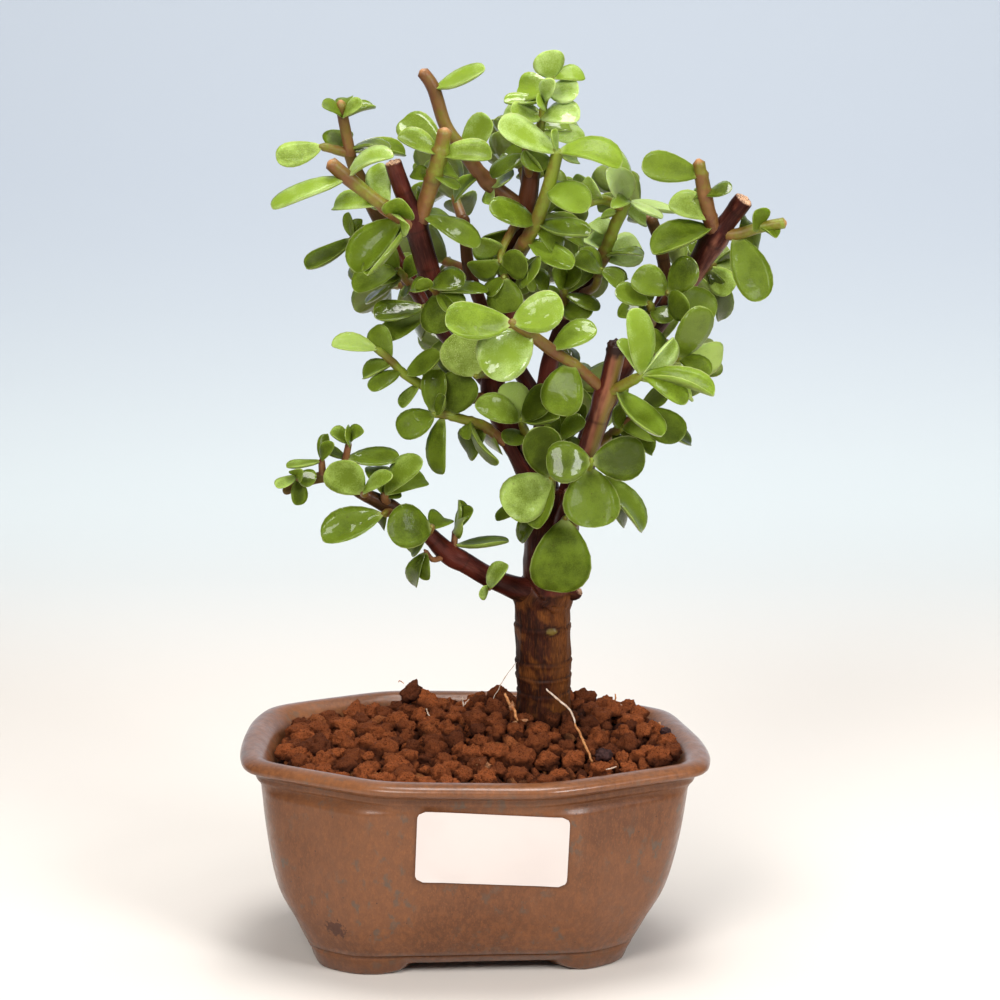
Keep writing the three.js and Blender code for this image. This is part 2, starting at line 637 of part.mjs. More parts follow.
    name: "spray_branch_fan",
    stems: [{
      route: [[-6.2, 109, -3.6, 2.2], [-5.6, 115.5, -4.5, 1.8]],
      leaves: [
        [1, -9.8, 122, -7, 5.5, 50], [1, -1.2, 121.8, -7, 5.5, 50], [1, -5.5, 121.5, -12, 6, 80],
        [0.4, 8.7, 113.2, -6, 6, 72],
      ],
    }],
  },
  {
    name: "spray_branch_under",
    stems: [{
      route: [[-8, 109, -4.2, 1.9], [-11.5, 107.5, -8, 1.5], [-13.5, 109.8, -10, 1.3]],
      leaves: [[2, -13.7, 101.8, -12, 4.8, 40], [2, -16.8, 100, -9, 5, 40]],
    }],
  },
  {
    name: "spray_branch_base",
    stems: [{
      route: [[5, 101.6, 0.8, 1.8], [3.4, 99.6, -5, 1.5]],
      leaves: [[1, 8.2, 106.2, -9, 5.5, 40], [1, 1, 98, -9, 4, 40]],
    }],
  },
];

// Leafy stems at the back and in the shade: here the leaves follow the plant's own rule, pairs set crosswise.
// start and end are points of x, z, depth; size is the length of the largest leaves.
const REAR_SPRAYS = [
  { name: "rear_spray_crown", start: [14, 205, 10], end: [10, 223, 34], pairs: 4, size: 13 },
  { name: "rear_spray_leader_top", start: [11.5, 196, 11], end: [24, 205, 34], pairs: 4, size: 14 },
  { name: "rear_spray_leader", start: [8.7, 180, 10.5], end: [12, 184, 33], pairs: 3, size: 14 },
  { name: "rear_spray_far_top", start: [-3, 198.5, 32], end: [-9, 213, 50], pairs: 4, size: 14 },
  { name: "rear_spray_far_mid", start: [-1.4, 186, 35], end: [-18, 190, 50], pairs: 4, size: 14.5 },
  { name: "rear_spray_far_low", start: [4, 172, 34], end: [-7, 165, 54], pairs: 4, size: 15 },
  { name: "rear_spray_back_top", start: [27, 179.5, 22], end: [24, 192, 46], pairs: 4, size: 14.5 },
  { name: "rear_spray_back_low", start: [19, 157, 25], end: [30, 153, 46], pairs: 4, size: 15 },
  { name: "rear_spray_right_top", start: [47, 198, 28.5], end: [38, 207, 44], pairs: 3, size: 13 },
  { name: "rear_spray_right_mid", start: [50, 184, 29.3], end: [61, 187, 48], pairs: 4, size: 14 },
  { name: "rear_spray_right_low", start: [45, 170, 23.5], end: [57, 160, 38], pairs: 4, size: 14 },
  { name: "rear_spray_left", start: [-15, 180, 19], end: [-25, 182, 37], pairs: 3, size: 14 },
];
const REAR_ROLL = 0.9; // radians: how the first pair of a rear spray stands
const REAR_SPREAD = 1.2; // radians between a leaf and the stem's direction
const REAR_WIDTH = 0.66; // share of a leaf's length

// How a leaf gives way to its neighbours: shares of its size, swings (radians) to the side and up.
const SIZES_TRIED = [1, 0.88, 0.76, 0.64];
const SWINGS_TRIED = [[0, 0], [0, 0.22], [0.22, 0], [-0.22, 0], [0, -0.22], [0.3, 0.3], [-0.3, 0.3],
[0, 0.5],
  [0.3, -0.3], [-0.3, -0.3], [0.5, 0], [-0.5, 0], [0, -0.5], [0.55, 0.5], [-0.55, 0.5], [0, 0.85]];
const LEAF_CLEARANCE = 0.35;
const FREE_FROM = 0.35; // share of a leaf from which it keeps clear of the wood

// ---------------------------------------------------------------- helpers
// Random numbers from a linear congruential generator, the same on every run.
function seededRandom(seed) {
  let state = seed;
  return () => {
    state = (state * 1664525 + 1013904223) % 4294967296;
    return state / 4294967296;
  };
}

function mix(a, b, share) {
  return a + (b - a) * share;
}

// A closed three.js geometry as a manifold solid.
function solidOf(geometry) {
  const bare = geometry.clone();
  bare.deleteAttribute("normal");
  bare.deleteAttribute("uv");
  const merged = mergeVertices(bare, 1e-5);
  return new wasm.Manifold(
    new wasm.Mesh({
      numProp: 3,
      vertProperties: new Float32Array(merged.attributes.position.array),
      triVerts: new Uint32Array(merged.index.array),
    }),
  );
}

function geometryOf(solid) {
  const mesh = solid.getMesh();
  const geometry = new THREE.BufferGeometry();
  geometry.setAttribute("position", new THREE.BufferAttribute(new Float32Array(mesh.vertProperties), 3));
  geometry.setIndex(new THREE.BufferAttribute(new Uint32Array(mesh.triVerts), 1));
  return geometry;
}

function geometryFrom(points, faces) {
  const geometry = new THREE.BufferGeometry().setFromPoints(points);
  geometry.setIndex(faces.flat());
  return geometry;
}

// A closed skin over rings of points that turn anticlockwise as seen from the far end; both ends are capped.
function loft(rings) {
  const count = rings[0].length;
  const points = rings.flat();
  const faces = [];
  for (let r = 0; r + 1 < rings.length; r++) {
    for (let i = 0; i < count; i++) {
      const a = r * count + i;
      const b = r * count + ((i + 1) % count);
      faces.push([a, b, b + count], [a, b + count, a + count]);
    }
  }
  const last = (rings.length - 1) * count;
  for (let i = 1; i + 1 < count; i++) {
    faces.push([0, i + 1, i], [last, last + i, last + i + 1]);
  }
  return geometryFrom(points, faces);
}

// Where a point drawn at x, z on the front elevation lies, when it is that far behind the middle plane.
function placed([x, z, depth]) {
  const share = depth / -EYE.y;
  return new THREE.Vector3(x + (x - EYE.x) * share, depth, z + (z - EYE.z) * share);
}

// ---------------------------------------------------------------- pot, soil and label
// How far the pot is turned at a height.
function turnAt(height) {
  return mix(FOOT_TURN, RIM_TURN, height / OUTER_WALL.at(-1)[0]);
}

// How far the middle of the pot's outline stands off X at a height.
function shiftAt(height) {
  return FOOT_SHIFT * Math.max(0, 1 - height / SOIL_TOP);
}

// Distance from the middle to an outline in one direction: a rectangle with its corners cut twice, with
// the faces blended.
function reach(angle, [height, width, depth, corner, cornerAngle]) {
  const [c, s] = [Math.cos(angle), Math.sin(angle)];
  const share = height / OUTER_WALL.at(-1)[0];
  const faces = [Math.abs((2 * c) / width), Math.abs((2 * s) / depth)];
  for (const quarter of QUARTERS) {
    const facing = (turn) => Math.max(quarter.x * c * Math.cos(turn) + quarter.y * s * Math.sin(turn), 0);
    faces.push(facing(SIDE_ANGLE) / (width / 2 + SIDE_CUT + quarter.side * share));
    faces.push(facing(THREE.MathUtils.degToRad(cornerAngle)) / (corner + quarter.corner * share));
  }
  const sum = faces.reduce((total, face) => total + face ** WALL_SHARPNESS, 0);
  return sum ** (-1 / WALL_SHARPNESS);
}

function outline([height, width, depth, corner, cornerAngle], inset = 0) {
  const row = [height, width - 2 * inset, depth - 2 * inset, corner - inset, cornerAngle];
  const turn = turnAt(height);
  return Array.from({ length: OUTLINE_POINTS }, (_, i) => {
    const angle = (i * 2 * Math.PI) / OUTLINE_POINTS;
    const r = reach(angle, row);
    return new THREE.Vector3(r * Math.cos(angle + turn) + shiftAt(height), r * Math.sin(angle + turn), height);
  });
}

// A bar that runs through the pot's foot ring, with a low arch for its top.
function footCut(width, length, turn) {
  const half = width / 2;
  const arch = new THREE.Shape();
  arch.moveTo(-half, -1);
  arch.lineTo(half, -1);
  arch.lineTo(half, 1);
  arch.quadraticCurveTo(half - 1, FLOOR_UNDERSIDE, half - 3, FLOOR_UNDERSIDE);
  arch.lineTo(3 - half, FLOOR_UNDERSIDE);
  arch.quadraticCurveTo(1 - half, FLOOR_UNDERSIDE, -half, 1);
  arch.closePath();
  const bar = new THREE.ExtrudeGeometry(arch, { depth: length, bevelEnabled: false, curveSegments: 2 });
  bar.rotateX(Math.PI / 2);
  bar.translate(0, length / 2, 0);
  bar.rotateZ(turn + FOOT_TURN);
  return solidOf(bar);
}

function drainHole(side) {
  const hole = new THREE.CylinderGeometry(DRAIN_HOLE.radius, DRAIN_HOLE.radius, 30, 12);
  hole.rotateX(Math.PI / 2);
  hole.translate(side * DRAIN_HOLE.offset, 0, 5);
  hole.rotateZ(FOOT_TURN);
  return solidOf(hole);
}

function makePot() {
  const bowl = solidOf(loft(OUTER_WALL.map((row) => outline(row))));
  const above = INNER_WALL[0].with(0, INNER_WALL[0][0] + 1);
  const hollow = solidOf(loft([above, ...INNER_WALL].reverse().map((row) => outline(row))));
  const foot = OUTER_WALL[0];
  const under = [foot.with(0, -1), foot.with(0, FLOOR_UNDERSIDE)];
  const recess = solidOf(loft(under.map((row) => outline(row, FOOT_WALL))));
  const [front, side] = FOOT_CUTS;
  return bowl
    .subtract(hollow)
    .subtract(recess)
    .subtract(footCut(front, 100, 0))
    .subtract(footCut(side, 120, Math.PI / 2))
    .subtract(drainHole(-1))
    .subtract(drainHole(1));
}

function soilLevel(x, y) {
  const away = Math.hypot((x - LIMBS[0].route[1][0]) / 34, (y - LIMBS[0].route[1][2]) / 30);
  return SOIL_TOP + SOIL_MOUND * Math.exp(-away * away);
}

// A block whose top is a field of grains. The top is a triangular lattice: every third point is the crown of
// a grain, and the six round it lie low.
function grainBlock() {
  const random = seededRandom(11);
  const step = GRAIN_PITCH / Math.sqrt(3);
  const columns = 21;
  const rows = 19;
  const top = [];
  for (let row = 0; row < rows; row++) {
    for (let column = 0; column < columns; column++) {
      const crown = (column - Math.floor(row / 2) - row + 300) % 3 === 0;
      const shift = crown ? 0.22 : 0.3;
      const x = (column + (row % 2) / 2 - columns / 2 + shift * (random() - 0.5) * 2) * step;
      const y = ((row - (rows - 1) / 2) * Math.sqrt(3) * 0.5 + shift * (random() - 0.5) * 2) * step;
      const relief = crown ? GRAIN_RELIEF * (0.45 + 0.55 * random()) : -0.5 * GRAIN_RELIEF * random();
      top.push(new THREE.Vector3(x, y, soilLevel(x, y) + relief));
    }
  }
  const bottom = top.map((point) => new THREE.Vector3(point.x, point.y, SOIL_BOTTOM - 4));
  const faces = [];
  const size = top.length;
  const at = (row, column) => row * columns + column;
  for (let row = 0; row + 1 < rows; row++) {
    for (let column = 0; column + 1 < columns; column++) {
      const [a, b] = [at(row, column), at(row, column + 1)];
      const [c, d] = [at(row + 1, column), at(row + 1, column + 1)];
      const pair = row % 2 ? [[a, b, d], [a, d, c]] : [[a, b, c], [b, d, c]];
      for (const [i, j, k] of pair) {
        faces.push([i, j, k], [size + i, size + k, size + j]);
      }
    }
  }
  const border = [];
  for (let column = 0; column + 1 < columns; column++) {
    border.push([at(0, column), at(0, column + 1)], [at(rows - 1, column + 1), at(rows - 1, column)]);
  }
  for (let row = 0; row + 1 < rows; row++) {
    border.push([at(row, columns - 1), at(row + 1, columns - 1)], [at(row + 1, 0), at(row, 0)]);
  }
  for (const [i, j] of border) {
    faces.push([j, i, size + i], [j, size + i, size + j]);
  }
  return solidOf(geometryFrom([...top, ...bottom], faces));
}

function makeLump([x, y, size], index) {
  const random = seededRandom(70 + index);
  const lump = new THREE.IcosahedronGeometry(size / 2, 0);
  lump.rotateX(random() * 3);
  lump.rotateZ(random() * 3);
  lump.scale(1, 0.86, 0.8);
  lump.translate(x, y, soilLevel(x, y) + size * 0.28);
  return solidOf(lump);
}

function makeSoil(trunkHole) {
  const rows = INNER_WALL.slice(1).reverse();
  const rings = rows.map((row, i) => outline(i ? row : row.with(0, SOIL_BOTTOM), GAP));
  const crest = rows[rows.length - 1].with(0, SOIL_TOP + SOIL_MOUND + 12);
  rings.push(outline(crest, GAP));
  const filling = solidOf(loft(rings));
  const grains = LUMPS.reduce((block, row, i) => block.add(makeLump(row, i)), grainBlock());
  return filling.intersect(grains).subtract(trunkHole);
}

// Depth of the pot's front wall below x, z, in the pot's own directions.
function frontWall(x, z) {
  const above = OUTER_WALL.findIndex((row) => row[0] >= z);
  const [low, high] = [OUTER_WALL[above - 1], OUTER_WALL[above]];
  const share = (z - low[0]) / (high[0] - low[0]);
  const row = low.map((value, i) => mix(value, high[i], share));
  const across = x - shiftAt(z);
  let y = -row[2] / 2;
  for (let pass = 0; pass < 5; pass++) {
    const r = reach(Math.atan2(y, across) - turnAt(z), row);
    y = -Math.sqrt(r * r - across * across);
  }
  return y;
}

// A sheet of paper with rounded corners that follows the wall's bend.
function makeLabel() {
  const { width, height, corner, thickness, x, z, tilt } = LABEL;
  const columns = 5;
  const rows = 4;
  const turn = THREE.MathUtils.degToRad(-tilt);
  const front = [];
  const back = [];
  for (let row = 0; row <= rows; row++) {
    for (let column = 0; column <= columns; column++) {
      const edge = row === 0 || row === rows ? corner * 0.5 : 0;
      const across = mix(-width / 2 + edge, width / 2 - edge, column / columns);
      const up = mix(-height / 2, height / 2, row / rows);
      const px = x + across * Math.cos(turn) - up * Math.sin(turn);
      const pz = z + across * Math.sin(turn) + up * Math.cos(turn);
      const y = frontWall(px, pz) - GAP;
      back.push(new THREE.Vector3(px, y, pz));
      front.push(new THREE.Vector3(px, y - thickness, pz));
    }
  }
  const faces = [];
  const size = front.length;
  const at = (row, column) => row * (columns + 1) + column;
  for (let row = 0; row < rows; row++) {
    for (let column = 0; column < columns; column++) {
      const [a, b] = [at(row, column), at(row, column + 1)];
      const [c, d] = [at(row + 1, column), at(row + 1, column + 1)];
      faces.push([a, b, d], [a, d, c], [size + a, size + d, size + b], [size + a, size + c, size + d]);
    }
  }
  const rim = [];
  for (let column = 0; column < columns; column++) {
    rim.push([at(0, column), at(0, column + 1)], [at(rows, column + 1), at(rows, column)]);
  }
  for (let row = 0; row < rows; row++) {
    rim.push([at(row, columns), at(row + 1, columns)], [at(row + 1, 0), at(row, 0)]);
  }
  for (const [i, j] of rim) {
    faces.push([j, i, size + i], [j, size + i, size + j]);
  }
  return solidOf(geometryFrom([...front, ...back], faces));
}

// ---------------------------------------------------------------- stems
// Rings round a route, each square to the route's direction there. The skin is moved out by extra, and the
// stem runs on past its last point by end.
function stemRings(route, sides, extra, end) {
  const points = route.map(placed);
  const [root, tip] = [points[0], points.at(-1)];
  const ahead = new THREE.Vector3().subVectors(tip, points.at(-2)).normalize();
  const behind = new THREE.Vector3().subVectors(root, points[1]).normalize();
  tip.addScaledVector(ahead, end + extra);
  root.addScaledVector(behind, extra);
  const side = new THREE.Vector3(0, -1, 0.2);
  return points.map((point, i) => {
    const before = points[Math.max(i - 1, 0)];
    const after = points[Math.min(i + 1, points.length - 1)];
    const along = new THREE.Vector3().subVectors(after, before).normalize();
    side.addScaledVector(along, -side.dot(along)).normalize();
    const across = new THREE.Vector3().crossVectors(along, side);
    const radius = route[i][3] / 2 + extra;
    return Array.from({ length: sides }, (_, k) => {
      const angle = (k * 2 * Math.PI) / sides;
      return point
        .clone()
        .addScaledVector(side, radius * Math.cos(angle))
        .addScaledVector(across, radius * Math.sin(angle));
    });
  });
}

function makeStem(route, sides, extra = 0, end = 0) {
  return solidOf(loft(stemRings(route, sides, extra, end)));
}

function makeWood(extra = 0) {
  return LIMBS.map((limb) => makeStem(limb.route, limb.sides, extra)).reduce((wood, limb) => wood.add(limb));
}

// ---------------------------------------------------------------- leaves
// Half width of a leaf at a share of its length: narrow root, widest past the middle, round end.
function leafShape(share) {
  return (share ** 0.75 * (1 - share) ** 0.42) / 0.4656;
}

// Directions of a leaf: along it, across it and out of its upper face.
function leafDirections(base, tip, stemward, face) {
  const along = new THREE.Vector3().subVectors(tip, base).normalize();
  const toEnd = stemward.clone().addScaledVector(along, -stemward.dot(along));
  let up = toEnd.clone();
  if (face !== null) {
    const view = new THREE.Vector3().subVectors(EYE, base).normalize();
    view.addScaledVector(along, -view.dot(along)).normalize();
    const edge = new THREE.Vector3().crossVectors(along, view);
    if (edge.dot(toEnd) < 0) edge.negate();
    const turn = THREE.MathUtils.degToRad(face);
    up = view.multiplyScalar(Math.cos(turn)).addScaledVector(edge, Math.sin(turn));
  }
  up.normalize();
  return { along, up, across: new THREE.Vector3().crossVectors(up, along) };
}

// A leaf: rings of three points, left, right and keel, between its root and its tip.
function leafGeometry(leaf, from, extra) {
  const { base, tip, width, form, directions } = leaf;
  const { along, across, up } = directions;
  const length = base.distanceTo(tip) + extra;
  const { fold, bow } = FORMS[form];
  const thickness = (LEAF_THICKNESS * (length > 9 ? 1 : 0.85)) / 2 + extra;
  const at = (share, side, high) => {
    const arch = 4 * bow * length * share * (1 - share);
    return base
      .clone()
      .addScaledVector(along, share * length)
      .addScaledVector(across, side)
      .addScaledVector(up, arch + high);
  };
  const shares = length > LONG_LEAF ? LONG_RINGS : SHORT_RINGS;
  const points = [at(from, 0, 0).addScaledVector(along, from ? 0 : -ROOT_DEPTH)];
  for (const share of shares.map((value) => mix(from, 1, value))) {
    const half = ((FULLNESS * width) / 2 + extra) * leafShape(share);
    const lift = fold * half;
    points.push(at(share, -half, lift + extra), at(share, half, lift + extra));
    points.push(at(share, 0, -0.35 * lift - thickness));
  }
  points.push(at(1, 0, 0));
  const last = points.length - 1;
  const faces = [];
  for (const [i, j] of [[1, 3], [3, 2], [2, 1]]) {
    faces.push([0, j, i]);
    for (let ring = 0; ring < shares.length - 1; ring++) {
      const [a, b] = [ring * 3 + i, ring * 3 + j];
      faces.push([a, b + 3, a + 3], [a, b, b + 3]);
    }
    faces.push([last - 4 + i, last - 4 + j, last]);
  }
  return geometryFrom(points, faces);
}

function makeLeaf(leaf, from = 0, extra = 0) {
  return solidOf(leafGeometry(leaf, from, extra));
}

// The same leaf made smaller and swung about its root.
function swungLeaf(leaf, size, [sideways, upwards]) {
  const { base, directions, width } = leaf;
  const swing = (vector) =>
    vector.clone().applyAxisAngle(directions.up, sideways).applyAxisAngle(directions.across, -upwards);
  const along = swing(directions.along);
  return {
    ...leaf,
    tip: base.clone().addScaledVector(along, leaf.base.distanceTo(leaf.tip) * size),
    width: width * size,
    directions: { along, up: swing(directions.up), across: swing(directions.across) },
  };
}

function stemPoint(points, place) {
  const index = Math.min(Math.floor(place), points.length - 2);
  return {
    at: new THREE.Vector3().lerpVectors(points[index], points[index + 1], place - index),
    direction: new THREE.Vector3().subVectors(points[index + 1], points[index]).normalize(),
  };
}

// The leaves that a drawn stem carries.
function drawnLeaves(stem, random) {
  const points = stem.route.map(placed);
  return stem.leaves.map(([place, x, z, depth, width, face]) => {
    const { at, direction } = stemPoint(points, place);
    const tip = placed([x, z, depth]);
    const form = Math.floor(random() * FORMS.length);
    return { base: at, tip, width, form, directions: leafDirections(at, tip, direction, face) };
  });
}

// A rear spray's route and its crosswise pairs, small at both ends and largest past the middle.
function rearStem({ start, end, pairs, size }) {
  const middle = start.map((value, i) => mix(value, end[i], 0.5));
  middle[1] += 1.5;
  return { route: [[...start, 3], [...middle, 2.4], [...end, 1.8]], pairs, size };
}

function rearLeaves(stem, random) {
  const points = stem.route.map(placed);
  const leaves = [];
  for (let pair = 0; pair < stem.pairs; pair++) {
    const share = (pair + 1) / stem.pairs;
    const { at, direction } = stemPoint(points, 0.35 + 1.65 * share);
    const level = new THREE.Vector3(0, 0, 1).cross(direction).normalize();
    const roll = REAR_ROLL + (pair * Math.PI) / 2 + 0.35 * (random() - 0.5);
    const length = stem.size * mix(1, 0.72, share) * mix(0.85, 1.1, random());
    for (const opposite of [0, Math.PI]) {
      const out = level.clone().applyAxisAngle(direction, roll + opposite);
      const spread = REAR_SPREAD - 0.35 * share + 0.3 * (random() - 0.5);
      const tip = at
        .clone()
        .addScaledVector(direction, length * Math.cos(spread))
        .addScaledVector(out, length * Math.sin(spread));
      const form = Math.floor(random() * FORMS.length);
      const width = length * REAR_WIDTH * mix(0.9, 1.15, random());
      leaves.push({ base: at, tip, width, form, directions: leafDirections(at, tip, direction, null) });
    }
  }
  return leaves;
}

// ---------------------------------------------------------------- the plant
function boxesMeet(a, b) {
  return [0, 1, 2].every((axis) => a.min[axis] <= b.max[axis] && b.min[axis] <= a.max[axis]);
}

function meets(solid, obstacles) {
  const box = solid.boundingBox();
  return obstacles.some((other) => boxesMeet(box, other.box) && !solid.intersect(other.solid).isEmpty());
}

function obstacleOf(solid) {
  return { solid, box: solid.boundingBox() };
}

// The sprays, each cut back from the wood. A leaf that would cross another node's stem or leaf takes the
// first of its other sizes and swings that is clear, and is left out if none is.
function makeSprays(wood, woodRoom) {
  const random = seededRandom(5);
  const sprays = [
    ...SPRAYS.map((spray) => ({
      ...spray,
      leaves: spray.stems.flatMap((stem) => drawnLeaves(stem, random)),
    })),
    ...REAR_SPRAYS.map((row) => {
      const stem = rearStem(row);
      return { name: row.name, stems: [stem], leaves: rearLeaves(stem, random) };
    }),
  ];
  for (const spray of sprays) {
    const stems = spray.stems.map((stem) => makeStem(stem.route, STEM_SIDES, 0, STEM_END));
    spray.solid = stems.reduce((whole, stem) => whole.add(stem)).subtract(woodRoom);
    const rooms = spray.stems.map((stem) => makeStem(stem.route, STEM_SIDES, LEAF_CLEARANCE, STEM_END));
    spray.room = rooms.map(obstacleOf);
  }
  const woodObstacle = [obstacleOf(woodRoom)];
  for (const spray of sprays) {
    const others = sprays.filter((other) => other !== spray).flatMap((other) => other.room);
    for (const leaf of spray.leaves) {
      const found = firstClear(leaf, others, woodObstacle);
      if (!found) continue;
      spray.solid = spray.solid.add(makeLeaf(found));
      spray.room.push(obstacleOf(makeLeaf(found, 0, LEAF_CLEARANCE)));
    }
    spray.solid = spray.solid.subtract(woodRoom);
    [spray.solid] = spray.solid.decompose().sort((a, b) => b.volume() - a.volume());
  }
  return sprays;
}

// The root of a leaf may lie in the wood that its stem grows from; the rest of its blade is clear of it.
function firstClear(leaf, others, woodObstacle) {
  for (const size of SIZES_TRIED) {
    for (const swing of SWINGS_TRIED) {
      const tried = swungLeaf(leaf, size, swing);
      if (!meets(makeLeaf(tried), others) && !meets(makeLeaf(tried, FREE_FROM), woodObstacle)) {
        return tried;
      }
    }
  }
  return null;
}

// ---------------------------------------------------------------- the model
function finish(color, roughness, metalness = 0) {
  return new THREE.MeshStandardMaterial({ color, roughness, metalness });
}

const MATERIALS = {
  glaze: finish(0x6b4630, 0.35),
  soil: finish(0x7a3d24, 0.95),
  paper: finish(0xf2f0ea, 0.7),
  wood: finish(0x4a2418, 0.6),
  leaf: finish(0x5f8a26, 0.3),
  youngLeaf: finish(0x94b535, 0.3),
};

function addPiece(group, name, solid, material) {
  const mesh = new THREE.Mesh(geometryOf(solid), material);
  mesh.name = name;
  group.add(mesh);
}

const wood = makeWood();
const woodRoom = makeWood(GAP);

const bonsai = new THREE.Group();
const planter = new THREE.Group();
const plant = new THREE.Group();
bonsai.add(planter, plant);
addPiece(planter, "pot", makePot(), MATERIALS.glaze);
addPiece(planter, "soil", makeSoil(woodRoom), MATERIALS.soil);
addPiece(planter, "label", makeLabel(), MATERIALS.paper);
addPiece(plant, "wood", wood, MATERIALS.wood);
for (const { name, solid, young } of makeSprays(wood, woodRoom)) {
  addPiece(plant, name, solid, young ? MATERIALS.youngLeaf : MATERIALS.leaf);
}

// The whole thing stands with the middle of its bounds over the origin.
const middle = new THREE.Box3().setFromObject(bonsai).getCenter(new THREE.Vector3());
bonsai.position.set(-middle.x, -middle.y, 0);

export default bonsai;
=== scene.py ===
"""A dwarf jade bonsai in its glazed pot: the looks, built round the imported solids.

The plant is drawn the way its solids are: in millimetres, as it appears to an eye in front of it,
with a depth for every point. Only finished meshes are in metres.
"""

import json
import logging
import math
from dataclasses import dataclass, field
from enum import Enum
from functools import lru_cache
from typing import Iterator, Sequence

import bpy
import numpy as np
from mathutils import Matrix, Quaternion, Vector, kdtree, noise

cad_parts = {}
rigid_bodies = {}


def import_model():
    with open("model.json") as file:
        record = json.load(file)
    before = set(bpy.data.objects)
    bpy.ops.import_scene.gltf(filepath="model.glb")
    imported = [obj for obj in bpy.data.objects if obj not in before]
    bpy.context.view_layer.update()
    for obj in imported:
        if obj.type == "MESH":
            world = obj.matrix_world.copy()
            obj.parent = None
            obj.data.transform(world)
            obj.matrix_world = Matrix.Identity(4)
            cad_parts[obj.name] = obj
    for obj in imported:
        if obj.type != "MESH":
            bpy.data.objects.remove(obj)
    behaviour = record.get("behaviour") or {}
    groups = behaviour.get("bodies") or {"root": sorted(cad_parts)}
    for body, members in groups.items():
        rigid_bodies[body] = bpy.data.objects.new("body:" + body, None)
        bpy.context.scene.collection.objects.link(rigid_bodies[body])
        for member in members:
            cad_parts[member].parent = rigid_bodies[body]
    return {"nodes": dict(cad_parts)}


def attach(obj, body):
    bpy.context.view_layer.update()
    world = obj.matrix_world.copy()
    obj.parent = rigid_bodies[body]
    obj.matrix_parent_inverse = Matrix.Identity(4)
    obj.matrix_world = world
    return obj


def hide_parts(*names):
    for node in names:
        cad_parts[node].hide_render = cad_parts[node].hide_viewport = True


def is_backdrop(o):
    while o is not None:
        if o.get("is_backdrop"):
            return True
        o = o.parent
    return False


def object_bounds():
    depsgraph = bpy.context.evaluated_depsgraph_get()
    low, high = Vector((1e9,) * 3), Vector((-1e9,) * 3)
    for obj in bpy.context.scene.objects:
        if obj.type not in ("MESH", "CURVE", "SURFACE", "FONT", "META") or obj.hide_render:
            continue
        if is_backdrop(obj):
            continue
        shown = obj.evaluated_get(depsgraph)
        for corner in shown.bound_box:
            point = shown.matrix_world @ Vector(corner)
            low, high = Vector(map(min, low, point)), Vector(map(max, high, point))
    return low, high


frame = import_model()
CAD_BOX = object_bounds()

log = logging.getLogger("bonsai")

MM = 0.001  # one millimetre in metres
BODY = "root"

# The eye that the plant is drawn for, in millimetres from the middle of the pot.
EYE = Vector((6.4, -974.0, 349.0))
# The middle of the pot on the ground in the frame, in millimetres.
MIDDLE = Vector((-9.582014, -8.671858, 0))

Point = tuple[float, float, float]
Row = tuple[float, ...]


class Slot(Enum):
    """The record's material slots."""

    GLAZE = "glaze"
    SOIL = "soil"
    PAPER = "paper"
    WOOD = "wood"
    LEAF = "leaf"
    YOUNG_LEAF = "young_leaf"


# ---------------------------------------------------------------- the plant's drawing
@dataclass(frozen=True)
class Limb:
    """A woody limb: points of x, z, depth, width."""

    name: str
    route: Sequence[Row]


@dataclass(frozen=True)
class Stem:
    """A green stem: a route like a limb's, and its leaves.

    A leaf is its place on the route, its tip's x, z and depth, its width and its face. One that
    stands apart also has its lightness, wetness (None where left to chance), spots and grit.
    """

    route: Sequence[Row]
    leaves: Sequence[Row]


@dataclass(frozen=True)
class Spray:
    """A leafy stem with its side stems; a young one is brighter."""

    name: str
    stems: Sequence[Stem]
    young: bool = False


@dataclass(frozen=True)
class RearSpray:
    """A spray whose leaves follow the plant's own rule, from start to end (x, z, depth)."""

    name: str
    start: Point
    end: Point
    pairs: int
    size: float
    young: bool = False


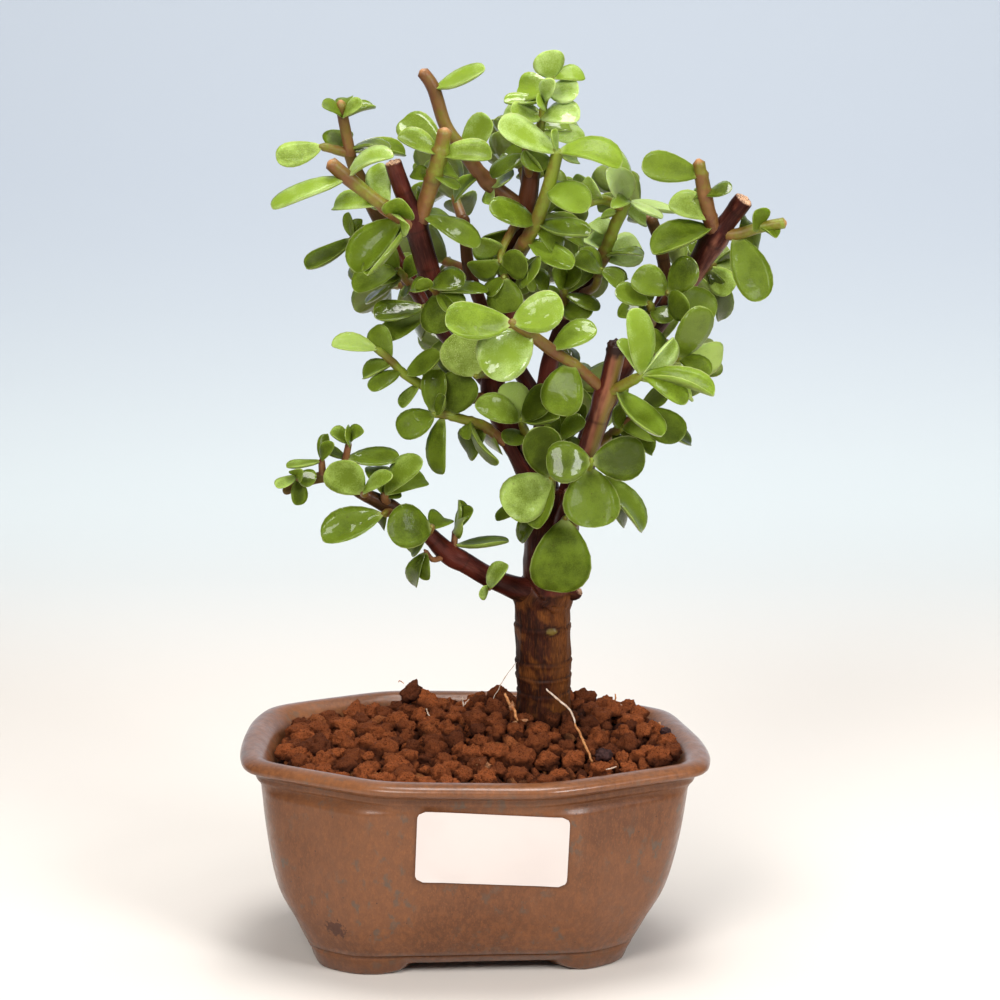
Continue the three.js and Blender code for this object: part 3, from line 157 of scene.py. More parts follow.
LIMBS = [
    Limb("trunk", [(18.5, 30, 8.5, 16), (18.5, 58, 8.5, 16.8), (18.2, 63, 8.5, 15.4),
        (18.3, 69.6, 8.5, 14.4), (18.3, 74, 8.5, 14.8), (18.2, 78, 8.5, 15.2), (18, 88, 8.5, 15.2),
        (17.8, 95.5, 8.5, 15.4), (17.9, 97, 8.5, 16.4), (19.3, 99, 8.5, 14.6), (19.8, 108, 8.5, 14),
        (20.2, 114, 8.5, 14.6), (21, 120, 8, 13), (21.2, 124, 7.5, 7)]),
    Limb("trunk_knob", [(22, 98, 7, 4), (26.5, 98, 5.5, 3.4), (27.6, 98.6, 5, 2.4)]),
    Limb("leader", [(20.5, 114, 8.5, 9), (16, 130, 9, 8), (9, 143, 9, 7.4), (4.5, 154, 8.5, 6.6),
        (6.5, 164, 9, 6.4), (8.7, 173, 10, 6), (8.7, 185, 11, 5.6), (11, 195, 11, 5.4),
        (13.8, 206, 10, 5.2), (15, 215.5, 9.5, 4.8)]),
    Limb("left_limb", [(5, 158, 8.5, 6), (-1, 167, 6, 6.2), (-7, 175, 3, 6), (-11.3, 183, 0, 6),
        (-14.6, 194, -2, 6.2), (-16.4, 200, -3, 6.8), (-18.6, 206, -4.5, 4.8), (-21.6, 214.8, -6, 4.5)]),
    Limb("back_left_limb", [(3, 157, 10, 5), (-8, 169.5, 15, 4.8), (-15, 180, 19, 4.6),
        (-19.5, 187, 20.5, 4.4), (-24, 197, 20, 4.2), (-27.5, 204.5, 18, 4), (-31.5, 213, 15, 3.6),
        (-33, 217, 14, 3.4)]),
    Limb("low_left_limb", [(18, 118, 8, 5), (12.5, 131.5, 4, 3.8), (8, 140.5, 2, 3.2)]),
    Limb("front_limb", [(22.5, 112, 6, 7), (27.5, 127, -4, 6), (30.3, 139, -9, 5.6),
        (32.8, 147.5, -11.5, 5.4), (34.6, 153.4, -13, 6.6), (35.6, 157, -14, 5),
        (37.6, 166.2, -16.5, 5.2)]),
    Limb("small_stub", [(21.5, 114, 6, 5), (23, 119, 1, 4.4), (25.2, 125.6, -3.5, 4)]),
    Limb("right_limb", [(22, 114, 9, 8), (29, 137, 12, 6.6), (38, 158, 14, 6), (47, 171, 13, 5.8),
        (53.4, 180, 11, 6), (58.5, 187.5, 9, 6.2), (63.4, 195.6, 7, 7.4), (66, 199, 6, 5.4),
        (70.6, 205, 4, 5.2)]),
    Limb("back_limb", [(21.5, 116, 10, 6.4), (18, 138, 20, 5.4), (19, 158, 25, 5), (22.5, 170, 25, 4.6),
        (27, 179.5, 22, 4.2), (30.5, 185, 19, 3.8)]),
    Limb("back_right_limb", [(38, 159, 14, 4.6), (44, 168, 22, 4), (50, 180, 29, 3.6), (49, 192, 30, 3.4),
        (46.5, 199.5, 28, 3.2)]),
    Limb("far_back_limb", [(18.6, 148, 23, 4.6), (10, 162, 31, 4.2), (2, 176, 35, 3.8), (-2, 188, 35, 3.4),
        (-3, 200, 32, 3)]),
    Limb("low_branch", [(17, 97.5, 7.5, 8), (11, 99.5, 4, 6.4), (4, 102.5, 0.5, 5.6),
        (-3, 106.7, -2.5, 5.4), (-7.4, 109.2, -4, 5.8), (-13, 114.8, -6.5, 4.4), (-20, 120, -9, 4),
        (-24, 122.6, -10, 4.4), (-31, 126.2, -12, 3.4), (-37, 130.2, -13.2, 3.4), (-43, 130, -14, 3),
        (-50.8, 126.6, -15, 2.4)]),
]
SPRAYS = [
    Spray("spray_tall_cut", [
        Stem([(12.5, 203, 10, 3.8), (4, 209, 9, 4.4), (0, 213.5, 8.5, 4), (-8, 225, 7.5, 3.6),
            (-11, 234.5, 7, 3.6), (-14, 239, 6.5, 2.8)], [(4, 2.2, 240, 3, 8, 62),
            (2.5, 4.2, 225.3, 2, 9.5, 35), (1, 9.6, 211.8, 4, 6.5, 65), (1.6, -5.8, 204.8, 12, 6, 60),
            (1, 3.5, 204, 5, 4, 40)])], young=True),
    Spray("spray_left_fork", [
        Stem([(-15.2, 198.5, -3, 4.6), (-13, 205, -5, 4.4), (-11, 211.5, -6.5, 4.4), (-9.3, 217, -7.5, 4.8),
            (-8, 223.7, -8.5, 3.6)], [(3, -20.3, 222, -9, 6.5, 40, 0.1, 0.2, 0.7),
            (3, 4.2, 216.8, -10, 7.5, 42, 0.15, 0.1), (3.2, -19, 227, 0, 9.5, 20),
            (2, -5, 208.3, -12, 6, 70, 0.2, 0.3), (1.8, -17, 212.3, -4, 4.5, 25),
            (0.4, 1, 193.3, -9, 8.5, 50), (0.4, -6.5, 201, 2, 5, 60), (0.3, -14.2, 208.3, 2, 5, 30),
            (2.2, -5, 212.3, -1, 6, 45)])]),
    Spray("spray_left_slant", [
        Stem([(-17, 198.5, -4, 4.2), (-23, 202.5, -7, 4), (-30, 208, -8.5, 3.6), (-33.7, 211, -9.5, 4),
            (-38.3, 215, -10.5, 3.2)], [(3, -54, 203.8, -14, 8, 58, -0.1, 0.3),
            (3, -21.8, 217.3, -13, 7.5, 62), (0.5, -20.3, 205.2, -13, 8.5, 18, -0.25, 0.2),
            (0.5, -18, 198.3, -14, 6.5, 75), (1.2, -37.8, 203.5, 0, 6, 35), (1, -26.5, 214.8, 2, 6.5, 15),
            (1, -27.8, 207.8, 3, 3.5, 50), (0.4, -32.8, 186.5, -9, 9.5, 20, -0.5, 0.2),
            (0.2, -29.3, 185.5, -13, 6, 65, -0.4, 0.4)])], young=True),
    Spray("spray_far_left_cut", [
        Stem([(-32.6, 215.5, 14.3, 3), (-33.2, 219, 13.5, 3), (-34.7, 226.8, 12.5, 3),
            (-35.3, 231, 12, 2.4)], [(2, -39.9, 230.3, 8, 5.5, 60), (2, -30, 230.6, 7, 5.5, 60),
            (2, -26.3, 229.8, 17, 5, 65), (2, -33.5, 232.3, 19, 5, 30), (0.7, -18.2, 217.4, 19, 5.5, 50),
            (0.8, -22.3, 219.4, 11, 4.5, 70)]),
        Stem([(-33, 217.4, 14, 2.8), (-40.2, 219.2, 13, 2.4)], [(1, -52.3, 216, 10, 7.5, 30, 0.3, 0.1),
            (0.55, -35.2, 223.8, 19, 8, 20)])]),
    Spray("spray_left_reach", [
        Stem([(-24, 196.4, 20, 2.6), (-29, 194.3, 16, 2.2), (-32.5, 194.8, 14, 1.8)],
            [(2, -45, 187.3, 9, 6.5, 50), (2, -34, 201.8, 15, 4, 50), (1.7, -30.3, 200, 13, 4, 40),
            (1.4, -28.3, 197.8, 12, 4, 30)])]),
    Spray("spray_left_mid", [
        Stem([(-15.5, 181, 18.5, 2.8), (-19, 184.5, 12, 2.4), (-20.5, 186.5, 8, 2)],
            [(1.4, -30, 185.8, 6, 8.5, 45), (2, -32.3, 181.3, 3, 8.5, 40), (1.2, -29.5, 177.8, 9, 6, 80),
            (2, -23.5, 192.5, 9, 7, 30), (0.6, -19.5, 179.3, 13, 4, 60), (0.9, -13.5, 189, 13, 7, 40)])]),
    Spray("spray_left_glossy", [
        Stem([(-9, 178.5, 1.6, 2.4), (-10.8, 181, -5, 2), (-12, 181.8, -8, 1.6)],
            [(2, -14.7, 183.8, -11, 5, 35), (1.8, -17.3, 181.5, -6, 6, 50), (2, -3, 184, -10, 7.5, 40),
            (1, -4.3, 187, -2, 7, 40), (0.8, 3.3, 181.5, -3, 6, 60), (0.8, -8.5, 169.8, -9, 10.5, 22),
            (0.8, -3.5, 176, -6, 8, 40)])]),
    Spray("spray_left_pair", [
        Stem([(-9, 170.8, 15, 2.8), (-12, 174.5, 8, 2.6), (-13.7, 176.5, 4, 2.2)],
            [(2, -26.8, 174.3, -2, 8.5, 50), (1.4, -25.5, 168.2, 1, 7.5, 42),
            (1.2, -16, 169, 14, 7, 40)])]),
    Spray("spray_left_twig", [
        Stem([(4, 152.5, 8, 3), (-4, 151.5, 4, 2.8), (-9.5, 153, 1, 2.6), (-15, 155.8, -2, 2.6),
            (-19, 158.3, -4, 2.4), (-22.5, 162, -5, 2.2), (-26, 165, -6, 1.8)],
            [(6, -38.3, 166.6, -8, 5.5, 35, 0.8, 0.1), (5, -27.3, 171.3, 0, 6.5, 18),
            (4.8, -30.3, 157.6, -2, 5.5, 50, 0.25, 0), (4.3, -28.2, 154.4, -10, 6, 45, 0.1, 0.6),
            (4, -9.6, 163.8, -9, 6.5, 40), (3, -20.3, 149.6, -3, 4.5, 45, 0.2, 0),
            (2, -10, 160, 6, 6, 30)])]),
    Spray("spray_left_low", [
        Stem([(7.5, 140, 2, 3), (2, 144.5, -1.5, 2.8), (-3, 146, -3, 2.6), (-7.5, 147.3, -4.5, 2.4),
            (-11, 147.5, -5, 2)], [(4, -20.8, 142.6, -8, 8.5, 25, 0.25, 0.2),
            (4, -8.5, 152.3, -11, 4.5, 50), (4, -9.7, 159.6, -1, 7, 18), (3.3, -10, 131, -7, 6.5, 35),
            (4, -15.3, 142.3, -7, 4.5, 70, 0.3, 0.1), (3, -2.5, 158.3, -6, 10.5, 8, -0.15, 0),
            (2.8, -7, 153, 2, 6, 30), (1.7, 5.5, 134, -12, 7, 78), (1.7, -2, 140.8, -6, 4.5, 50),
            (0.8, -2.8, 136.8, 3, 9, 30), (0.8, 5.5, 137, 6, 7, 60)])]),
    Spray("spray_left_round", [
        Stem([(4, 158.5, 7.5, 2.6), (1, 158.5, -2, 2.4), (0, 158, -8, 2)],
            [(2, -5.5, 169.3, -12, 12.5, 10, 0.45, 0, 0, 1), (1.5, -10.5, 161.5, -4, 5, 60),
            (1, 5, 167.8, 1, 5, 40)])]),
    Spray("spray_crown_tip", [
        Stem([(14.8, 213, 9.5, 3.2), (16.8, 223, 8, 2.4), (18, 231, 7, 2), (20, 237, 6, 1.6)],
            [(3, 18.8, 244.2, 4, 8.5, 15), (3, 28.6, 238, 8, 5.5, 40), (2.6, 11, 235.2, 11, 8, 22),
            (2.1, 7.4, 231.4, 6, 4.5, 55), (2.4, 26.8, 233.6, 3, 7.5, 30), (2, 20.3, 236.3, -1, 5, 40),
            (1.5, 26.9, 226.8, -1, 8.5, 45), (1.8, 16.5, 231, -2, 5, 70), (1.5, 9.5, 228.7, 1, 6.5, 45),
            (1.6, 6.8, 227, 12, 6, 45), (1, 28.8, 221.8, 8, 7, 45), (1.1, 27, 225.3, 13, 6.5, 40),
            (0.9, 8.7, 222.3, 13, 6.5, 65)])], young=True),
    Spray("spray_crown_front", [
        Stem([(10.3, 189, 10.5, 4), (12.8, 193.5, 3, 4.2), (16, 199, 0, 3.8), (19, 208, -2, 3.6),
            (21.5, 217.8, -4, 3.2)], [(4, 6.2, 225.2, -9, 11, 50, -0.1, 0.1),
            (4, 38.3, 214.6, -10, 10, 50, -0.22, 0.1), (4, 20.3, 223.4, -8, 4, 65),
            (4, 27.2, 215.7, 1, 5, 55), (3, 29.5, 202.8, -10, 9.5, 32),
            (3, 24.8, 207.2, 5, 5.5, 40, -0.35, 0.8), (2, 3.9, 203.6, -6, 8.5, 42, -0.3, 0.9),
            (2, 30, 196.4, -6, 7.5, 55, -0.3, 0.6), (1.8, 22.8, 191.3, 4, 6.5, 30, -0.3, 0.9),
            (2, 29, 193.8, 9, 6, 35, -0.35, 0.8),
            (1.2, 25.6, 187.3, -3, 7.5, 38, -0.3, 0.5)])], young=True),
    Spray("spray_crown_dark", [
        Stem([(14.5, 210.5, 9.5, 2.6), (13.3, 215.5, 4.5, 2.2), (13, 218.5, 2.5, 1.8)],
            [(2, 17.3, 212.9, -3, 8.5, 40), (1.5, 3.7, 211.8, 3, 6.5, 50), (1, 7.5, 218, 9, 7.5, 35),
            (2, 18.7, 211.2, 0, 6, 65)])]),
    Spray("spray_leader_left", [
        Stem([(11, 198.5, 10.5, 2.8), (9.5, 197, 5, 2.4), (7, 192, 1, 2), (6.5, 189, -1, 1.8)],
            [(1, 1.8, 194.3, 5, 6.5, 50), (2, -0.3, 194, -4, 7.5, 35), (3, -1.7, 186.3, 1, 8.5, 45),
            (3, 13.5, 187, -6, 8, 25)])]),
    Spray("spray_leader_right", [
        Stem([(9, 184.8, 11, 2.8), (12.3, 186, 4, 2.4), (13.5, 186.8, 0, 2)],
            [(2, 18.5, 186.3, -6, 9.5, 25), (2, 10, 183.5, -5, 7, 30), (1.3, 19.5, 181.5, 5, 7, 45),
            (1, 12.5, 179.5, 6, 7, 40)])]),
    Spray("spray_leader_mid", [
        Stem([(8.8, 181, 10, 2.8), (7.8, 184, 2.5, 2.4), (7.5, 184.5, -1, 2)],
            [(2, 10.5, 175.5, -4, 10, 20), (2, 2.8, 179.8, -2, 5, 40), (1, 1, 190.5, 5, 6, 50)])]),
    Spray("spray_mid_right", [
        Stem([(30.3, 184.8, 19.2, 3.6), (33, 188.5, 17.5, 3.6), (37, 199, 15, 3.4), (40, 204.8, 13, 3)],
            [(3, 34.8, 213, 5, 7.5, 22, 0.25, 0.4), (3, 36.2, 219.5, 17, 5, 55),
            (3, 49.3, 200.6, 9, 4.5, 65, 0.35, 0.1), (3, 53.2, 202.3, 16, 4.5, 65, 0.35, 0.2),
            (2.6, 32.8, 200.8, 17, 4.5, 65), (2.7, 45.3, 199.3, 21, 5.5, 40, 0.3, 0.1),
            (3, 36, 203.3, 4, 4, 25), (1.1, 43.7, 193.3, 23, 9.5, 12, 0.45, 0.1),
            (1.1, 44.2, 191, 12, 6, 78), (1.3, 29.3, 195.3, 22, 6, 30, 0.45, 0),
            (1.7, 30.8, 199.8, 22, 6, 30, 0.3, 0)]),
        Stem([(38.5, 203, 13.5, 2.6), (33.3, 205.2, 10, 2.6), (28.5, 203.6, 8, 2.2)],
            [(1, 25.8, 211.4, 11, 6, 45), (1, 29.3, 210.9, 4, 5, 35)])], young=True),
    Spray("spray_mid_fan", [
        Stem([(24, 173, 24.5, 2.8), (23.3, 180, 14, 2.4), (23, 181.5, 10, 2)], [(2, 19.3, 187, 6, 6, 40),
            (2, 27.5, 186.6, 6, 6, 40), (1, 33.5, 177.6, 13, 5.5, 50), (1, 35.5, 181.5, 17, 8, 30),
            (0.6, 31.3, 176, 12, 8, 35), (0.6, 17.5, 180.5, 16, 6, 50)])]),
    Spray("spray_mid_low", [
        Stem([(27.4, 179.8, 21.4, 2.6), (31.4, 182, 14, 2.4), (33, 186.4, 9, 2)],
            [(2, 24.3, 187.3, 3, 7, 35), (2, 38.3, 181.8, 6, 6, 40), (2, 40.3, 184.6, 11, 6, 60),
            (1.8, 30, 192.8, 15, 7, 50)])]),
    Spray("spray_right_up_cut", [
        Stem([(63.2, 194.5, 7, 4), (61.8, 200, 3.5, 4.2), (60.3, 206.5, 2, 4), (58.5, 215.5, 0.5, 3.4)],
            [(2.6, 43.8, 214.2, -3, 9.5, 35, 0.05, 0.1), (2, 67, 208, -3, 6, 55),
            (2, 57, 205.3, 6, 3.5, 45), (1, 51, 204.6, 3, 8, 30, 0.4, 0.1), (1.2, 56.5, 205.7, 9, 5, 40),
            (0.6, 46.8, 191.3, -5, 9.5, 45)])]),
    Spray("spray_right_tip", [
        Stem([(65, 196, 6, 3.2), (69, 196, 4.5, 3.2), (75, 197.8, 4, 3), (81.5, 199, 3, 3)],
            [(2, 73.7, 202, 0, 7, 40), (2, 79.5, 195.3, 1, 5, 60), (1, 71.5, 200.5, 11, 5, 25),
            (0.8, 75.5, 178.3, -2, 10, 15, 0.1, 0.1), (1, 75, 192.5, 12, 7, 25)])]),
    Spray("spray_right_side", [
        Stem([(58, 186, 10, 2.6), (61, 187, 15, 2.4), (63, 187.7, 18, 2)],
            [(2, 69.8, 187.3, 19, 5.5, 50, 0.35, 0), (2, 69, 190.8, 22, 5, 40),
            (1, 67.9, 180.7, 14, 8, 25, 0.2, 0.1), (1, 65.5, 172.8, 18, 6.5, 30),
            (1, 57, 194, 20, 6, 30, 0.15, 0.4)])]),
    Spray("spray_right_glossy", [
        Stem([(53, 179, 11.5, 2.8), (51.5, 180, 3, 2.4), (51, 180.3, -1, 2)],
            [(2, 57.7, 188.8, -5, 8.5, 25, 0, 0.8), (1.6, 41.3, 184.5, 1, 8.5, 22, 0.22, 0.1),
            (2, 56, 175, -8, 8, 40), (1.3, 63.8, 175, 2, 9, 25)])]),
    Spray("spray_right_inner", [
        Stem([(46.5, 170.5, 13.5, 2.6), (46.8, 175, 5, 2.4), (46, 177.5, 1, 2)], [(2, 37, 181, -1, 7, 40),
            (1.4, 52, 173, -1, 7, 40), (1, 37.6, 174.5, 3, 6.5, 45), (1.8, 48, 187, 6, 7, 40)])]),
    Spray("spray_right_light", [
        Stem([(41, 162.5, 14, 2.8), (48, 163, 4, 2.4), (54, 162.5, -4, 2)],
            [(2, 60.5, 176.3, -8, 9.5, 30, 0.15, 0.7), (2, 66, 163.5, 2, 9.5, 25, 0.7, 0.2),
            (2, 62, 158, -9, 7, 45), (1.5, 44.5, 170, -5, 6, 35), (1.2, 57, 167, 8, 7, 40, 0.85, 0.3),
            (1, 43.8, 158.2, 0, 7, 35)])]),
    Spray("spray_front_whorl", [
        Stem([(34.5, 153.3, -13, 3), (39, 155.3, -17, 3), (44, 158, -21, 2.6)], [(2, 38, 167.7, -22, 6, 50),
            (2, 42, 176, -24, 8.5, 35, -0.1, 0.1), (2, 63.5, 153.3, -28, 7, 60, -0.15, 0.1),
            (2, 56, 150.8, -29, 7, 40, -0.05, 0.2, 0.3), (2, 53, 168, -16, 6, 45, 0.1, 0.1),
            (0.6, 50, 142, -22, 8.5, 50), (1.7, 58, 151.8, -13, 6, 60)])], young=True),
    Spray("spray_front_twig", [
        Stem([(34, 154, -13, 3.2), (26.5, 160.8, -18, 3), (20, 165, -21, 3.4), (14, 169.5, -24, 3),
            (9.5, 172.3, -27, 2.6)], [(4, -8, 172.8, -32, 11.5, 35, -0.1, 0.1),
            (4, 23, 177.3, -29, 11, 25, -0.12, 0.5), (2, 31.7, 171.5, -21, 8, 38, -0.15, 0.7),
            (1.2, 22.3, 147.2, -23, 11, 12, -0.3, 0.2),
            # the last leaf is made lighter to paint the whitish reflection of its wet film
            (2.9, 2.8, 158.3, -30, 14, 15, 0.15, 1)])], young=True),
    Spray("spray_front_bright", [
        Stem([(13, 136, 9, 2.8), (13.2, 142, 0, 2.6), (12, 145.8, -7, 2)],
            [(2, 0, 150.2, -12, 8, 30, 0.32, 0.3), (2, 20, 154.3, -10, 8.5, 35),
            (1.7, 8, 156, -3, 8, 12, 0.75, 0, 0, 0.5), (2, 22, 147, -13, 6, 55),
            (1, 7.5, 140.5, -6, 6, 35)])]),
    Spray("spray_centre_low", [
        Stem([(20, 130, 16, 2.8), (22, 138, 4, 2.6), (22.5, 141, -2, 2.2)], [(2, 30.5, 144.5, -6, 7, 40),
            (2, 18, 148.5, -2, 6, 40), (1.5, 16.5, 143, 2, 6, 40, 0.05, 0), (1.4, 28.5, 150.5, 3, 8, 35),
            (1, 29, 139.5, 8, 7, 45)])]),
    Spray("spray_trunk_right", [
        Stem([(26, 122, -1.5, 3), (29, 129.5, -11, 2.6), (30.8, 134.8, -18, 2.2)],
            [(2, 18.8, 134.3, -20, 11, 12, 0.05, 0.6), (2, 45.2, 136.3, -20, 11.5, 12, -0.08, 0),
            (1.7, 32, 116.5, -22, 14.5, 8, 0.08, 0.1, 0.5), (1.2, 45.3, 115.8, -12, 8.5, 50, 0.25, 0.6),
            (1.2, 42.8, 122, -3, 7, 35, 0.2, 0.6), (1, 40.5, 116.8, -6, 5, 40)])]),
    Spray("spray_trunk_left", [
        Stem([(18.5, 119, 4, 3), (20, 126.5, -4, 2.6), (20.3, 130.3, -10, 2.2)],
            [(2, 14, 144.8, -14, 10.5, 12), (2, 8.3, 120.5, -15, 12.5, 10, 0.42, 0.2, 0.4),
            (1.8, 16, 116.3, -16, 8, 30, 0.3, 0.3), (0.8, 4.9, 119.3, -2, 5, 40),
            (0.8, 11.8, 112.3, -4, 5, 30)])]),
    Spray("spray_trunk_front", [
        Stem([(22.8, 114.5, 2, 2.8), (23.5, 117.5, -5, 2.4), (24, 119, -8, 2)],
            [(2, 20.7, 98.6, -11, 15.5, 6, -0.03, 0, 0.3)])]),
    Spray("spray_low_right", [
        Stem([(30, 137.5, 12, 2.8), (36, 142, 5, 2.6), (39, 144, 1, 2.2)], [(2, 49, 141.5, -4, 8, 35),
            (1.6, 47.5, 137, 4, 6.5, 40), (2, 37.5, 149.5, -4, 7, 45), (1.2, 41, 136, -1, 6, 40)]),
        Stem([(38.5, 144, 2, 2.4), (44.5, 149, 1, 2)], [(1, 55, 141, -5, 9.5, 22), (1, 58, 139.7, 6, 6, 50),
            (0.9, 50.5, 154.5, 4, 6.5, 40)])]),
    Spray("spray_branch_tip", [
        Stem([(-41, 130, -13.8, 2.2), (-41.3, 134.8, -15.5, 1.8)], [(1, -40.2, 142.3, -12, 4, 40),
            (1, -50.8, 133.6, -18, 3.5, 60, 0.3, 0), (1, -38.3, 139.5, -20, 4, 40)])]),
    Spray("spray_branch_end", [
        Stem([(-47.6, 127.9, -14.6, 2), (-48, 130.8, -17, 1.6)], [(1, -47.3, 136.8, -20, 4, 40, 0.3, 0),
            (1, -53.5, 127.8, -21, 4.5, 50, 0.35, 0), (1, -43.3, 131.8, -19, 5, 25),
            (0.8, -46.5, 124.6, -13, 5, 35)])]),
    Spray("spray_branch_cup", [
        Stem([(-36.6, 130, -13.2, 2.2), (-35, 135, -13.6, 2), (-34, 139.5, -14, 1.8)],
            [(2, -38.8, 142.6, -16, 5.5, 55, 0.15, 0), (2, -30.2, 143.2, -16, 5.5, 55, 0.15, 0),
            (2, -34.5, 142.3, -21, 6, 80), (1.1, -20.3, 136.2, -11, 7.5, 50),
            (1.1, -40.5, 138.5, -9, 4, 50)])]),
    Spray("spray_branch_mid", [
        Stem([(-23.8, 122.6, -10, 2.8), (-24.6, 125.4, -13, 2.2)], [(1, -14.8, 135.3, -17, 8, 40, 0.3, 0.1),
            (1, -13.3, 130, -7, 8, 35, 0.25, 0), (0.8, -27.5, 133.5, -6, 7.5, 30),
            (0.8, -20, 125.8, -12, 3.5, 40)])]),
    Spray("spray_branch_light", [
        Stem([(-29.6, 125.6, -11.6, 2.4), (-30.3, 125.8, -15.5, 2)], [(1, -39, 133.6, -19, 10, 20, 0.4, 0),
            (1, -22.8, 130.8, -23, 5.5, 50, 0.35, 0.1)])]),
    Spray("spray_branch_low", [
        Stem([(-21.8, 121.3, -9.4, 2.4), (-24.8, 120.2, -14, 2)],
            [(1, -41.3, 113.2, -20, 9.5, 30, 0.2, 0.5, 0.4), (1, -34, 114.8, -11, 6, 60),
            (0.7, -25.5, 116.8, -6, 4.5, 30)])]),
    Spray("spray_branch_round", [
        Stem([(-13, 114.8, -6.6, 2.4), (-12, 116.6, -13, 2)],
            [(1, -23.6, 115.4, -19, 11.5, 12, 0.1, 0.1, 0.3), (0.7, -8.5, 119.5, -5, 7, 25),
            (0.7, -16.5, 109.6, -7, 6, 30)])]),
    Spray("spray_branch_fan", [
        Stem([(-6.2, 109, -3.6, 2.2), (-5.6, 115.5, -4.5, 1.8)], [(1, -9.8, 122, -7, 5.5, 50),
            (1, -1.2, 121.8, -7, 5.5, 50, 0.15, 0), (1, -5.5, 121.5, -12, 6, 80, 0.15, 0),
            (0.4, 8.7, 113.2, -6, 6, 72, 0.15, 0.1)])]),
    Spray("spray_branch_under", [
        Stem([(-8, 109, -4.2, 1.9), (-11.5, 107.5, -8, 1.5), (-13.5, 109.8, -10, 1.3)],
            [(2, -13.7, 101.8, -12, 4.8, 40, 0.15, 0.2), (2, -16.8, 100, -9, 5, 40)])]),
    Spray("spray_branch_base", [
        Stem([(5, 101.6, 0.8, 1.8), (3.4, 99.6, -5, 1.5)], [(1, 8.2, 106.2, -9, 5.5, 40, 0.35, 0.4),
            (1, 1, 98, -9, 4, 40, 0.35, 0.4)])]),
]
REAR_SPRAYS = [
    RearSpray("rear_spray_crown", (14, 205, 10), (10, 223, 34), pairs=4, size=13),
    RearSpray("rear_spray_leader_top", (11.5, 196, 11), (24, 205, 34), pairs=4, size=14),
    RearSpray("rear_spray_leader", (8.7, 180, 10.5), (12, 184, 33), pairs=3, size=14),
    RearSpray("rear_spray_far_top", (-3, 198.5, 32), (-9, 213, 50), pairs=4, size=14),
    RearSpray("rear_spray_far_mid", (-1.4, 186, 35), (-18, 190, 50), pairs=4, size=14.5),
    RearSpray("rear_spray_far_low", (4, 172, 34), (-7, 165, 54), pairs=4, size=15),
    RearSpray("rear_spray_back_top", (27, 179.5, 22), (24, 192, 46), pairs=4, size=14.5),
    RearSpray("rear_spray_back_low", (19, 157, 25), (30, 153, 46), pairs=4, size=15),
    RearSpray("rear_spray_right_top", (47, 198, 28.5), (38, 207, 44), pairs=3, size=13),
    RearSpray("rear_spray_right_mid", (50, 184, 29.3), (61, 187, 48), pairs=4, size=14),
    RearSpray("rear_spray_right_low", (45, 170, 23.5), (57, 160, 38), pairs=4, size=14),
    RearSpray("rear_spray_left", (-15, 180, 19), (-25, 182, 37), pairs=3, size=14),
]

# ---------------------------------------------------------------- helpers
class Seeded:
    """Random numbers from a linear congruential generator, the same on every run."""

    def __init__(self, seed: int) -> None:
        """Starts the row of numbers at a seed."""
        self.state = seed

    def draw(self, low: float = 0, high: float = 1) -> float:
        """Returns the next number between low and high."""
        self.state = (self.state * 1664525 + 1013904223) % 4294967296
        return mix(low, high, self.state / 4294967296)


def mix(a: float, b: float, share: float) -> float:
    """Returns the value that lies that share of the way from a to b."""
    return a + (b - a) * share


def smooth(value: float, low: float, high: float) -> float:
    """Returns 0 below low, 1 above high and an eased value between."""
    t = min(max((value - low) / (high - low), 0.0), 1.0)
    return t * t * (3 - 2 * t)


def bell(value: float, width: float) -> float:
    """Returns 1 at 0, falling off to both sides over a width."""
    return math.exp(-(value / width) ** 2)


def angles(count: int) -> list[float]:
    """Returns the angles of that many even steps round a circle."""
    return [2 * math.pi * i / count for i in range(count)]


def placed(x: float, z: float, depth: float) -> Vector:
    """Returns where a drawn point lies, in millimetres from the middle of the pot."""
    share = depth / -EYE.y
    return Vector((x + (x - EYE.x) * share, depth, z + (z - EYE.z) * share))


def to_frame(point: Vector) -> Vector:
    """Returns a point of the drawing in the frame's metres."""
    return (point + MIDDLE) * MM


def curve_through(values: np.ndarray, steps: Sequence[int]) -> np.ndarray:
    """Runs a smooth curve through rows of numbers.

    Args:
        values: one row for each point of the curve.
        steps: how many pieces each stretch between two points is cut into.

    Returns:
        The rows of the finer curve.
    """
    padded = np.vstack([2 * values[0] - values[1], values, 2 * values[-1] - values[-2]])
    rows = []
    for i, count in enumerate(steps):
        a, b, c, d = padded[i:i + 4]
        for k in range(count):
            t = k / count
            rows.append(0.5 * (2 * b + (c - a) * t + (2 * a - 5 * b + 4 * c - d) * t * t
                               + (3 * b - 3 * c + d - a) * t ** 3))
    rows.append(values[-1])
    return np.array(rows)


def across_run(side: Vector, ahead: Vector) -> tuple[Vector, Vector]:
    """Returns the two directions across a run, the first as near as can be to side."""
    side = (side - ahead * side.dot(ahead)).normalized()
    return side, ahead.cross(side)


def new_mesh(name: str, points: Sequence[Vector], edges: Sequence, faces: Sequence,
             values: dict[str, list]) -> bpy.types.Mesh:
    """Makes a smooth mesh.

    Args:
        name: the mesh's name.
        points, edges, faces: what it is made of, in metres.
        values: a name to one number or vector for each point.

    Returns:
        The mesh, with the values as attributes of its points.
    """
    mesh = bpy.data.meshes.new(name)
    mesh.from_pydata(points, edges, faces)
    for key, row in values.items():
        kind, part = ("FLOAT_VECTOR", "vector") if hasattr(row[0], "__len__") else ("FLOAT", "value")
        layer = mesh.attributes.new(key, kind, "POINT")
        layer.data.foreach_set(part, np.array(row, np.float32).ravel())
    mesh.polygons.foreach_set("use_smooth", [True] * len(mesh.polygons))
    mesh.update()
    return mesh


